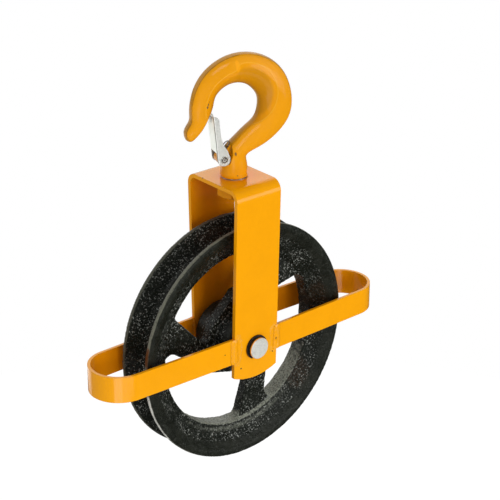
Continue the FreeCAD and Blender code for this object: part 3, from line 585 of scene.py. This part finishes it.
def make_hook_paint(paint):
    """Thick gloss paint on the forged hook: painted shade round its sides and in its bow, painted
    highlights, a run and chips.
    """
    material, tree, shader = new_material(
        "hook_paint", Coat_Weight=0.22, Coat_Roughness=0.05, Specular_IOR_Level=0.1)
    place = object_place(tree)
    film = use(tree, "Paint Film", {"Place": place, "Colour": rgba(paint.hook),
                                    "Mottle": paint.mottle * 0.6, "Gloss": 0.24})
    edges = use(tree, "Soft Edges", {"Place": place, "Radius": 0.0007})
    faced, line, shoulder = forged_faces(tree, place, edges["Normal"])
    side_on = size_of(tree, dot(tree, object_normal(tree), tuple(HOOK_SIDEWAYS)))

    # Painted shade: darker where the bow's surface faces along the hook's plane, round its sides
    thin = times(tree, step(tree, side_on, 0.10, 0.75, 0.85, 0.0), above_neck(tree, place))
    colour = mix_colours(tree, thin, film["Colour"], HOOK_SIDE_SHADE)
    # A dark broken line along the two edges of the trimmed band
    broken = step(tree, noise(tree, place, 45.0, 4.0), 0.34, 0.52)
    colour = tinted(tree, colour, times(tree, line, broken), 0.65, HOOK_BAND_LINE)
    colour = tinted(tree, colour, edges["Mask"], 0.4, HOOK_EDGE)

    # Painted shade: darker inside the shoulder at the back of the bow
    bowl_shade = times(tree, step(tree, shoulder, -0.0009, -0.0020), bowl_side(tree, place))
    colour = tinted(tree, colour, bowl_shade, 0.55, HOOK_BOWL_SHADE)
    # Painted highlight: a bright line along the edge of the shoulder
    ridge_highlight = step(tree, size_of(tree, plus(tree, shoulder, 0.00015)), 0.00004, 0.00018, 1.0, 0.0)
    ridge_highlight = times(tree, ridge_highlight, step(tree, side_on, 0.35, 0.60))
    colour = tinted(tree, colour, ridge_highlight, 0.5, HOOK_RIDGE_HIGHLIGHT)
    # A paint run at the top of the bow, painted lighter as a highlight
    run_and_highlight = marks_on(tree, place, (HOOK_RUN_AND_HIGHLIGHT,), 0.7, 300.0)
    colour = tinted(tree, colour, run_and_highlight, 0.7, HOOK_RUN_HIGHLIGHT)
    # Painted sheen: paler, yellower colour on the bow's inner wall, deep inside the shoulder
    inner_sheen = times(tree, step(tree, side_on, 0.50, 0.20), step(tree, shoulder, -0.0018, -0.0030))
    colour = tinted(tree, colour, inner_sheen, 0.6, HOOK_INNER_SHEEN)
    chips = marks_on(tree, place, HOOK_CHIPS, 1.5, 2400.0)
    colour = tinted(tree, colour, chips, 0.85, HOOK_BARE)

    forged = bump(tree, shoulder, 1.0, faced)
    fine = bump(tree, film["Height"], paint.peel, forged)
    rough = plus(tree, film["Roughness"], times(tree, chips, 0.3), clamp=True)
    feed(tree, shader, Base_Color=colour, Roughness=rough, Normal=pitted(tree, chips, 0.0002, fine))
    return material


def weld_toes(tree, place):
    """Ragged oval outlines round the upright welds, the lumps inside and a mask of the welds."""
    ragged = times(tree, minus(tree, noise(tree, place, 300.0, 3.0), 0.5), 1.5)
    across = minus(tree, size_of(tree, part_of(tree, place, "X")), WELD_ACROSS)
    along = minus(tree, part_of(tree, place, "Z"), WELD_LEVEL)
    oval = put(tree, "CombineXYZ", {
        "X": maths(tree, "DIVIDE", across, WELD_HALF_WIDTH),
        "Y": maths(tree, "DIVIDE", along, WELD_HALF_HEIGHT)}).outputs[0]
    oval = plus(tree, length_of(tree, oval), ragged)
    outer = step(tree, size_of(tree, part_of(tree, place, "Y")), YOKE_FRONT, YOKE_FRONT + 0.0005)
    toe = step(tree, size_of(tree, minus(tree, oval, 1.0)), 0.03, 0.14, 1.0, 0.0)
    near = times(tree, step(tree, oval, 0.75, 1.15, 1.0, 0.0), outer)
    lumps = times(tree, noise(tree, place, 420.0, 2.0), near)
    return times(tree, toe, outer), lumps, near


def make_frame_paint(paint):
    """Gloss paint on flat bar: lumps and burn specks by the welds, thin paint on the edges, painted
    shade in the corners and painted highlights round the welds' toes.
    """
    material, tree, shader = new_material(
        "frame_paint", Coat_Weight=0.45, Coat_Roughness=0.07, Specular_IOR_Level=0.1)
    place = object_place(tree)
    film = use(tree, "Paint Film", {"Place": place, "Colour": rgba(paint.frame),
                                    "Mottle": paint.mottle * 0.4, "Gloss": 0.17})
    edges = use(tree, "Soft Edges", {"Place": place, "Radius": 0.0006})
    toes, lumps, near = weld_toes(tree, place)
    rubbed = times(tree, edges["Mask"], step(tree, near, 0.0, 1.0, 0.45, 0.10))
    colour = mix_colours(tree, rubbed, film["Colour"], FRAME_EDGE)
    # Painted shade: deeper orange in corners and between faces
    colour = tinted(tree, colour, painted_shade_mask(tree, 0.07), 0.85, FRAME_CORNER_SHADE)
    # Painted highlight: pale lines round the welds' toes
    colour = tinted(tree, colour, toes, 0.5, WELD_TOE_HIGHLIGHT)
    specks = marks_on(tree, place, FRAME_SPECKS)
    colour = mix_colours(tree, specks, colour, FRAME_BURN)
    beads = plus(tree, lumps, times(tree, toes, 0.3))
    welded = bump(tree, beads, 0.0006, edges["Normal"])
    fine = bump(tree, film["Height"], paint.peel, welded)
    feed(tree, shader, Base_Color=colour, Roughness=film["Roughness"],
         Normal=pitted(tree, specks, 0.0002, fine))
    return material


def make_nut_paint(paint):
    """Thin paint over the hook's nut, worn to dark steel on its corners."""
    material, tree, shader = new_material(
        "nut_paint", Coat_Weight=0.05, Coat_Roughness=0.25, Specular_IOR_Level=0.15)
    place = object_place(tree)
    film = use(tree, "Paint Film", {"Place": place, "Colour": rgba(paint.hook), "Mottle": 0.6,
                                    "Gloss": 0.38})
    edges = use(tree, "Soft Edges", {"Place": place, "Radius": 0.0008, "Break Scale": 500.0})
    colour = mix_colours(tree, edges["Mask"], film["Colour"], NUT_BARE)
    feed(tree, shader, Base_Color=colour, Roughness=film["Roughness"],
         Normal=bump(tree, film["Height"], paint.peel * 2, edges["Normal"]))
    return material


def make_axle_paint(paint, plating):
    """Axle pin: bare turned end faces with scratches, paint on its side, dark by its rings."""
    material, tree, shader = new_material("axle_paint", Specular_IOR_Level=0.5)
    place = object_place(tree)
    film = use(tree, "Paint Film", {"Place": place, "Colour": rgba(paint.frame), "Mottle": 0.5,
                                    "Gloss": 0.35})
    metal = use(tree, "Metal Clouds", {"Place": place, "Colour": rgba(plating.steel),
                                       "Scale": 230.0, "Depth": 0.35, "Gloss": 0.42})
    lines = use(tree, "Fine Scratches", {"Place": place, "Scale": 120.0,
                                         "Amount": plating.scratches})
    edges = use(tree, "Soft Edges", {"Place": place, "Radius": 0.0005})
    smear = times(tree, noise(tree, place, 400.0), 0.0003)
    along = plus(tree, size_of(tree, part_of(tree, place, "Y")), smear)
    bare = step(tree, along, AXLE_END - 0.0007, AXLE_END - 0.0002)
    near_ring = step(tree, along, AXLE_END - 0.0014, AXLE_END - 0.0020)
    face = mix_colours(tree, lines["Mask"], metal["Colour"], AXLE_SCRATCH)
    # The painted side turns dark towards the rings
    side = mix_colours(tree, near_ring, film["Colour"], AXLE_NEAR_RING)
    relief = plus(tree, metal["Height"], lines["Height"])
    feed(tree, shader, Base_Color=mix_colours(tree, bare, side, face),
         Roughness=mix_numbers(tree, bare, film["Roughness"], metal["Roughness"]),
         Metallic=times(tree, bare, 0.25), Normal=bump(tree, relief, 0.00008, edges["Normal"]))
    return material


def wheel_radius_of(tree, place):
    """Distance from the axle's line."""
    return length_of(tree, vector_maths(tree, "MULTIPLY", place, (1.0, 0.0, 1.0)))


def painted_skin(tree, colour, place, face, broad):
    """The casting's paint: patches, painted shade between the flanges, and painted glints as grey
    flecks and bright sparks.
    """
    colour = mix_colours(tree, step(tree, broad, 0.36, 0.66), rgba(colour), IRON_PATCH)
    # Painted shade: everything between the flanges' outer faces is darker
    colour = mix_colours(tree, face, IRON_GROOVE_SHADE, colour)
    # Painted glints: grey flecks and bright sparks, gathered in patches and mostly in the groove
    glint_patches = step(tree, noise(tree, place, 55.0, 2.0), 0.36, 0.56, 0.25, 1.0)
    fleck_glints = step(tree, noise(tree, place, 520.0, 3.0, 0.75), 0.54, 0.68)
    colour = tinted(tree, colour, fleck_glints, glint_patches, IRON_FLECK_GLINT)
    spark_glints = step(tree, noise(tree, place, 620.0, 2.0, 0.6), 0.575, 0.640)
    strewn = times(tree, glint_patches, step(tree, face, 0.0, 1.0, 1.0, 0.06))
    return tinted(tree, colour, spark_glints, strewn, IRON_SPARK_GLINT)


def turned_lip(tree, reach, depth, broad, lumps):
    """1 on the flanges' turned outer edges, less on the rear one, with gaps in it."""
    wander = times(tree, minus(tree, broad, 0.5), 0.0016)
    lip = step(tree, plus(tree, reach, wander), WHEEL_RADIUS - 0.0011, WHEEL_RADIUS - 0.0002)
    front = step(tree, depth, 0.004, -0.004, 0.45, 1.0)
    return times(tree, times(tree, lip, front), step(tree, lumps, 0.30, 0.46))


def make_cast_iron(casting):
    """Black gloss paint over a sand casting, with turned lips worn bare and rusted in places."""
    material, tree, shader = new_material(
        "cast_iron", Coat_Weight=0.04, Coat_Roughness=0.13, Specular_IOR_Level=0.12)
    place = object_place(tree)
    reach = wheel_radius_of(tree, place)
    depth = part_of(tree, place, "Y")
    broad = noise(tree, place, 90.0, 3.0, 0.55)
    lumps = noise(tree, place, 640.0, 4.0, 0.65)
    face = step(tree, size_of(tree, depth), 0.0150, 0.0170)
    colour = painted_skin(tree, casting.colour, place, face, broad)

    tints = marks_on(tree, place, RIM_TINTS, ragged=1.0)
    tints = times(tree, tints, step(tree, lumps, 0.40, 0.62))
    colour = tinted(tree, colour, tints, 0.18, rgba(casting.rust))
    lip = turned_lip(tree, reach, depth, broad, lumps)
    colour = mix_colours(tree, lip, colour, rgba(casting.worn))
    # Painted reflection: a pale patch on the front lip's lower left
    colour = tinted(tree, colour, marks_on(tree, place, (LIP_REFLECTION,), 0.2), lip, IRON_LIP_REFLECTION)
    rust = marks_on(tree, place, (LIP_RUST,), ragged=0.5)
    colour = tinted(tree, colour, rust, lip, rgba(casting.rust))

    # Painted light: the up-facing floors of the windows are paler
    below = step(tree, part_of(tree, object_normal(tree), "Z"), 0.30, 0.62)
    in_windows = times(tree, step(tree, reach, 0.060, 0.064),
                       step(tree, reach, 0.098, 0.102, 1.0, 0.0))
    window_floor_light = times(tree, times(tree, below, in_windows), step(tree, lumps, 0.38, 0.56, 0.25, 1.0))
    colour = mix_colours(tree, window_floor_light, colour, IRON_WINDOW_LIGHT)

    grain = put(tree, "TexVoronoi", {"Vector": place, "Scale": 1250.0, "Randomness": 1.0})
    skin = plus(tree, times(tree, lumps, 0.8), times(tree, broad, 0.4))
    skin = minus(tree, skin, times(tree, grain.outputs["Distance"], 0.16))
    calm = minus(tree, 1.0, times(tree, lip, 0.75))
    rough = plus(tree, step(tree, broad, 0.30, 0.70, 0.20, 0.38), times(tree, lip, 0.08))
    feed(tree, shader, Base_Color=colour, Roughness=rough,
         Normal=bump(tree, times(tree, skin, calm), casting.grain))
    return material


def make_cast_wheel(casting):
    """The sheave with the lumpy skin and soft corners of a sand casting, modelled in its mesh."""
    draft = bpy.data.objects.new("cast_wheel_draft", frame["nodes"]["sheave"].data.copy())
    bpy.context.scene.collection.objects.link(draft)
    skin = draft.modifiers.new("skin", "REMESH")
    skin.mode = "VOXEL"
    skin.voxel_size = casting.voxel
    skin.use_smooth_shade = True
    graph = bpy.context.evaluated_depsgraph_get()
    mesh = bpy.data.meshes.new_from_object(draft.evaluated_get(graph))
    bpy.data.objects.remove(draft)
    moved = []
    for vertex in mesh.vertices:
        place = vertex.co
        swell = lumps_of.fractal(place * 150.0, 0.8, 2.0, 3) + 0.35 * lumps_of.noise(place * 420.0)
        lift = swell * casting.lumps * 0.5 * roughness_at(place)
        moved.append(inside_wheel(place + vertex.normal * lift))
    for vertex, place in zip(mesh.vertices, moved):
        vertex.co = place
    mesh.name = "cast_wheel"
    mesh.materials.clear()
    wheel = bpy.data.objects.new("cast_wheel", mesh)
    bpy.context.scene.collection.objects.link(wheel)
    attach(wheel, "wheel")
    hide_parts("sheave")
    return wheel


def inside_wheel(place):
    """The same place, or the nearest one that is no further out than the turned lips."""
    reach = math.hypot(place.x, place.z)
    pull = min(1.0, (WHEEL_RADIUS - 0.00001) / max(reach, 0.001))
    return Vector((place.x * pull, place.y, place.z * pull))


def roughness_at(place):
    """1 on the rough casting, less on the turned lips, none on the bored and faced hub."""
    reach = math.hypot(place.x, place.z)
    if reach < BORED_RADIUS or abs(place.y) > FACED_DEPTH:
        return 0.0
    return 0.35 if reach > WHEEL_RADIUS - 0.0012 else 1.0


def make_zinc(plating):
    """Zinc plated sheet with brushed cheeks: the web painted light, painted shade in the crease and
    corners, and a painted highlight band.
    """
    material, tree, shader = new_material("zinc", Specular_IOR_Level=0.5)
    place = object_place(tree)
    metal = use(tree, "Metal Clouds", {"Place": place, "Colour": rgba(plating.zinc),
                                       "Scale": 300.0, "Depth": 0.25, "Gloss": 0.36})
    lines = use(tree, "Fine Scratches", {"Place": place, "Scale": 240.0,
                                         "Amount": plating.scratches})
    edges = use(tree, "Soft Edges", {"Place": place, "Radius": 0.0007, "Break Scale": 300.0})
    colour = mix_colours(tree, lines["Mask"], metal["Colour"], ZINC_SCRATCH)
    colour = tinted(tree, colour, edges["Mask"], 0.8, ZINC_EDGE)

    tipward = dot(tree, object_normal(tree), tuple(HOOK_TIPWARD))
    web = step(tree, tipward, 0.80, 0.93)
    # Painted light: the web, which faces the hook's tip, is paler
    colour = tinted(tree, colour, web, 0.9, ZINC_WEB_LIGHT)
    # Painted shade: a dark line where the web bends into the cheek
    crease_shade = times(tree, step(tree, tipward, 0.45, 0.70), step(tree, tipward, 0.86, 0.94, 1.0, 0.0))
    colour = tinted(tree, colour, crease_shade, 0.75, ZINC_CREASE_SHADE)
    # Painted highlight: a bright band on the bend between the crease and the cheek
    highlight_band = times(tree, step(tree, tipward, 0.05, 0.20), step(tree, tipward, 0.40, 0.55, 1.0, 0.0))
    colour = tinted(tree, colour, highlight_band, 0.7, ZINC_HIGHLIGHT)
    # Painted shade: dark in the latch's corners and slot
    colour = tinted(tree, colour, painted_shade_mask(tree, 0.006), 0.75, ZINC_CORNER_SHADE)

    cloudy = plus(tree, metal["Height"], times(tree, lines["Height"], 0.5))
    feed(tree, shader, Base_Color=colour, Roughness=metal["Roughness"],
         Metallic=step(tree, web, 0.0, 1.0, 0.35, 0.62),
         Normal=bump(tree, cloudy, 0.00012, edges["Normal"]))
    return material


def make_rivet_steel(plating):
    """Rivet with the ring and the dimple that its closing tool left, with painted shade in both."""
    material, tree, shader = new_material("rivet_steel", Metallic=0.85, Specular_IOR_Level=0.5)
    place = object_place(tree)
    side = tuple(HOOK_SIDEWAYS)
    from_pivot = between(tree, place, tuple(LATCH_PIVOT))
    across = between(tree, from_pivot, scaled(tree, side, dot(tree, from_pivot, side)))
    away = length_of(tree, across)
    ring = size_of(tree, minus(tree, away, RIVET_RING))
    groove = step(tree, ring, 0.0003, 0.0007, 1.0, 0.0)
    dimple = step(tree, away, 0.0006, 0.0012, 1.0, 0.0)
    hollow = larger(tree, groove, times(tree, dimple, 0.8))
    metal = use(tree, "Metal Clouds", {"Place": place, "Colour": rgba(plating.steel),
                                       "Scale": 700.0, "Depth": 0.5, "Gloss": 0.32})
    # Painted shade: the ring and the dimple are dark
    colour = tinted(tree, metal["Colour"], hollow, 0.9, RIVET_HOLLOW_SHADE)
    feed(tree, shader, Base_Color=colour, Roughness=metal["Roughness"],
         Normal=pitted(tree, hollow, 0.0004, None))
    return material


def make_plain_metal(name, colour, metallic, gloss, scale, plating):
    """Turned or drawn metal: clouds, scratches and bright edges."""
    material, tree, shader = new_material(name, Metallic=metallic, Specular_IOR_Level=0.5)
    place = object_place(tree)
    metal = use(tree, "Metal Clouds", {"Place": place, "Colour": rgba(colour), "Scale": scale,
                                       "Depth": 0.5, "Gloss": gloss})
    lines = use(tree, "Fine Scratches", {"Place": place, "Scale": scale * 0.7,
                                         "Amount": plating.scratches * 0.6})
    edges = use(tree, "Soft Edges", {"Place": place, "Radius": 0.0003, "Break Scale": 600.0})
    pale = tuple(min(1.0, part * 1.6 + 0.03) for part in colour)
    dark = tuple(part * 0.5 for part in colour)
    worn = mix_colours(tree, lines["Mask"], metal["Colour"], rgba(dark))
    feed(tree, shader, Base_Color=mix_colours(tree, edges["Mask"], worn, rgba(pale)),
         Roughness=metal["Roughness"], Normal=bump(tree, metal["Height"], 0.0001, edges["Normal"]))
    return material


def dress(material, *nodes):
    """Puts a material on CAD nodes."""
    for name in nodes:
        frame["nodes"][name].material_slots[0].material = material


# One operator for each group of pieces

class GINWHEEL_OT_effects(bpy.types.Operator):
    """Makes the node groups that the finishes share"""
    bl_idname = "ginwheel.effects"
    bl_label = "Shared Effects"

    def execute(self, context):
        make_soft_edges()
        make_paint_film()
        make_mark()
        make_scratches()
        make_bare_metal()
        return {"FINISHED"}


class GINWHEEL_OT_hook(bpy.types.Operator):
    """Paints the forged hook and the nut under it"""
    bl_idname = "ginwheel.hook"
    bl_label = "Hook"

    def execute(self, context):
        dress(make_hook_paint(context.scene.ginwheel_paint), "hook")
        dress(make_nut_paint(context.scene.ginwheel_paint), "hook_nut")
        return {"FINISHED"}


class GINWHEEL_OT_latch(bpy.types.Operator):
    """Plates the latch and finishes its rivet and spring"""
    bl_idname = "ginwheel.latch"
    bl_label = "Latch"

    def execute(self, context):
        plating = context.scene.ginwheel_plating
        dress(make_zinc(plating), "hook_latch")
        dress(make_rivet_steel(plating), "latch_rivet")
        wire = make_plain_metal("spring_steel", SPRING_WIRE, 0.7, 0.34, 900.0, plating)
        dress(wire, "latch_spring")
        return {"FINISHED"}


class GINWHEEL_OT_yoke(bpy.types.Operator):
    """Paints the yoke, its guards and its welds"""
    bl_idname = "ginwheel.yoke"
    bl_label = "Yoke and Guards"

    def execute(self, context):
        paint = make_frame_paint(context.scene.ginwheel_paint)
        dress(paint, "yoke", "guard_left", "guard_right",
              "weld_front_left", "weld_front_right", "weld_rear_left", "weld_rear_right")
        return {"FINISHED"}


class GINWHEEL_OT_axle(bpy.types.Operator):
    """Finishes the axle, its rings, the washers and the pins"""
    bl_idname = "ginwheel.axle"
    bl_label = "Axle and Washers"

    def execute(self, context):
        scene = context.scene
        plating = scene.ginwheel_plating
        dress(make_axle_paint(scene.ginwheel_paint, plating), "axle")
        black = make_plain_metal("black_steel", BLACK_STEEL, 0.5, 0.42, 500.0, plating)
        dress(black, "axle_ring_front", "axle_ring_rear")
        steel = make_plain_metal("steel", GREY_STEEL, 0.9, 0.36, 350.0, plating)
        dress(steel, "thrust_washer_front", "thrust_washer_rear", "swivel_washer", "nut_washer",
              "nut_lock_pin")
        return {"FINISHED"}


class GINWHEEL_OT_wheel(bpy.types.Operator):
    """Finishes the cast wheel and its bush"""
    bl_idname = "ginwheel.wheel"
    bl_label = "Wheel"

    def execute(self, context):
        scene = context.scene
        iron = make_cast_iron(scene.ginwheel_casting)
        dress(iron, "sheave")
        make_cast_wheel(scene.ginwheel_casting).data.materials.append(iron)
        bronze = make_plain_metal("bronze", BRONZE, 0.95, 0.38, 300.0, scene.ginwheel_plating)
        dress(bronze, "hub_bush")
        return {"FINISHED"}


class GINWHEEL_OT_studio(bpy.types.Operator):
    """Sets the floor, the lamps, the white backdrop and the camera"""
    bl_idname = "ginwheel.studio"
    bl_label = "Studio"

    def execute(self, context):
        scene = context.scene
        studio = scene.ginwheel_studio
        scene.view_settings.view_transform = "Standard"
        make_floor(studio)
        for name, place, size, setting, mirrored in LAMPS:
            make_lamp(name, place, size, getattr(studio, setting), mirrored)
        make_room(scene, studio)
        make_camera(scene)
        return {"FINISHED"}


def make_floor(studio):
    """A round pale floor that reads as white and keeps part of the wheel's shadow."""
    level = FLOOR_UNDER - studio.drop
    mesh = bpy.data.meshes.new("floor")
    turns = [2 * math.pi * number / FLOOR_SIDES for number in range(FLOOR_SIDES)]
    corners = [(FLOOR_RADIUS * math.cos(turn), FLOOR_RADIUS * math.sin(turn), level)
               for turn in turns]
    mesh.from_pydata(corners, [], [tuple(range(len(corners)))])
    floor = bpy.data.objects.new("floor", mesh)
    bpy.context.scene.collection.objects.link(floor)
    material = bpy.data.materials.new("floor_paper")
    material.use_nodes = True
    tree = material.node_tree
    tree.nodes.clear()
    fibres = noise(tree, object_place(tree), 25.0, 4.0)
    paper = mix_colours(tree, fibres, (0.80, 0.80, 0.79, 1), (0.84, 0.84, 0.83, 1))
    lit = put(tree, "BsdfPrincipled", {"Base Color": paper, "Roughness": 0.9})
    rays = put(tree, "LightPath").outputs
    strength = step(tree, rays["Is Camera Ray"], 0.0, 1.0, 0.04, 1.1)
    glow = put(tree, "Emission", {"Color": (1, 1, 1, 1), "Strength": strength})
    share = times(tree, larger(tree, rays["Is Camera Ray"], rays["Is Glossy Ray"]), 0.85)
    both = put(tree, "MixShader", {0: share, 1: lit.outputs[0], 2: glow.outputs[0]})
    put(tree, "OutputMaterial", {"Surface": both.outputs[0]})
    mesh.materials.append(material)


def make_lamp(name, place, size, power, mirrored):
    """A soft flat lamp that looks at the object's middle. Gloss may mirror it or not."""
    lamp = bpy.data.lights.new(name, "AREA")
    lamp.shape = "RECTANGLE"
    lamp.size, lamp.size_y = size
    lamp.energy = power
    made = bpy.data.objects.new(name, lamp)
    made.location = place
    made.visible_camera = False
    made.visible_glossy = mirrored
    aim = LAMP_AIM - Vector(place)
    made.rotation_euler = aim.to_track_quat("-Z", "Y").to_euler()
    bpy.context.scene.collection.objects.link(made)


def make_room(scene, studio):
    """White for the camera, light that is stronger from above, and for gloss a dim room.

    The mirrored room is paler on the left, bright above the horizon behind, and has a few small
    lights.
    """
    world = bpy.data.worlds.new("studio_room")
    scene.world = world
    world.use_nodes = True
    tree = world.node_tree
    tree.nodes.clear()
    whole = put(tree, "TexCoord").outputs["Generated"]
    way = put(tree, "SeparateXYZ", {0: whole}).outputs
    left = step(tree, way["X"], 0.10, -0.30, 0.05, 0.34)
    above = step(tree, way["Z"], -0.15, 0.20, 0.06, 1.0)
    behind = times(tree, step(tree, way["Y"], 0.05, 0.60, 0.05, 1.50), above)
    mirrored = larger(tree, left, behind)
    for middle, rim, level in ROOM_LIGHTS:
        light = step(tree, dot(tree, whole, middle), rim - 0.03, rim + 0.005, 0.0, level)
        mirrored = larger(tree, mirrored, light)
    rays = put(tree, "LightPath").outputs
    soft = step(tree, way["Z"], -0.30, 0.50, studio.room * 0.9, studio.room * 1.5)
    level = mix_numbers(tree, rays["Is Glossy Ray"], soft, mirrored)
    level = larger(tree, level, rays["Is Camera Ray"])
    glow = put(tree, "Background", {"Color": (1, 1, 1, 1), "Strength": level})
    put(tree, "OutputWorld", {"Surface": glow.outputs[0]})


def make_camera(scene):
    """A long lens from the front left, a little above."""
    azimuth, elevation, inner_sheen = (math.radians(angle) for angle in CAMERA_TURNS)
    back = Vector((math.sin(azimuth) * math.cos(elevation),
                   -math.cos(azimuth) * math.cos(elevation), math.sin(elevation)))
    level = Vector((math.cos(azimuth), math.sin(azimuth), 0))
    raised = back.cross(level)
    right = level * math.cos(inner_sheen) + raised * math.sin(inner_sheen)
    up = raised * math.cos(inner_sheen) - level * math.sin(inner_sheen)
    camera = bpy.data.cameras.new("camera")
    camera.lens = CAMERA_FOCAL * CAMERA_SENSOR
    camera.sensor_width = CAMERA_SENSOR
    camera.clip_end = 50
    made = bpy.data.objects.new("camera", camera)
    aside, above, away = CAMERA_PLACE
    place = right * aside + up * above + back * away
    made.matrix_world = Matrix.Translation(place) @ Matrix((right, up, back)).transposed().to_4x4()
    scene.collection.objects.link(made)
    scene.camera = made


STEPS = (GINWHEEL_OT_effects, GINWHEEL_OT_hook, GINWHEEL_OT_latch, GINWHEEL_OT_yoke,
         GINWHEEL_OT_axle, GINWHEEL_OT_wheel, GINWHEEL_OT_studio)


class GINWHEEL_PT_panel(bpy.types.Panel):
    """Sizes, colours and steps of the gin wheel"""
    bl_idname = "GINWHEEL_PT_panel"
    bl_label = "Gin Wheel"
    bl_space_type = "VIEW_3D"
    bl_region_type = "UI"
    bl_category = "Gin Wheel"

    def draw(self, context):
        scene = context.scene
        for settings in (scene.ginwheel_paint, scene.ginwheel_casting,
                         scene.ginwheel_plating, scene.ginwheel_studio):
            box = self.layout.box()
            for name in settings.__annotations__:
                box.prop(settings, name)
        for operator in STEPS:
            self.layout.operator(operator.bl_idname)


GROUPS = {
    "ginwheel_paint": GINWHEEL_PG_paint,
    "ginwheel_casting": GINWHEEL_PG_casting,
    "ginwheel_plating": GINWHEEL_PG_plating,
    "ginwheel_studio": GINWHEEL_PG_studio,
}


def register():
    for kind in (*GROUPS.values(), *STEPS, GINWHEEL_PT_panel):
        bpy.utils.register_class(kind)
    for name, kind in GROUPS.items():
        setattr(bpy.types.Scene, name, bpy.props.PointerProperty(type=kind))


def unregister():
    for name in GROUPS:
        delattr(bpy.types.Scene, name)
    for kind in reversed((*GROUPS.values(), *STEPS, GINWHEEL_PT_panel)):
        bpy.utils.unregister_class(kind)


def main():
    register()
    for operator in STEPS:
        group, name = operator.bl_idname.split(".")
        getattr(getattr(bpy.ops, group), name)()


if __name__ == "__main__":
    main()
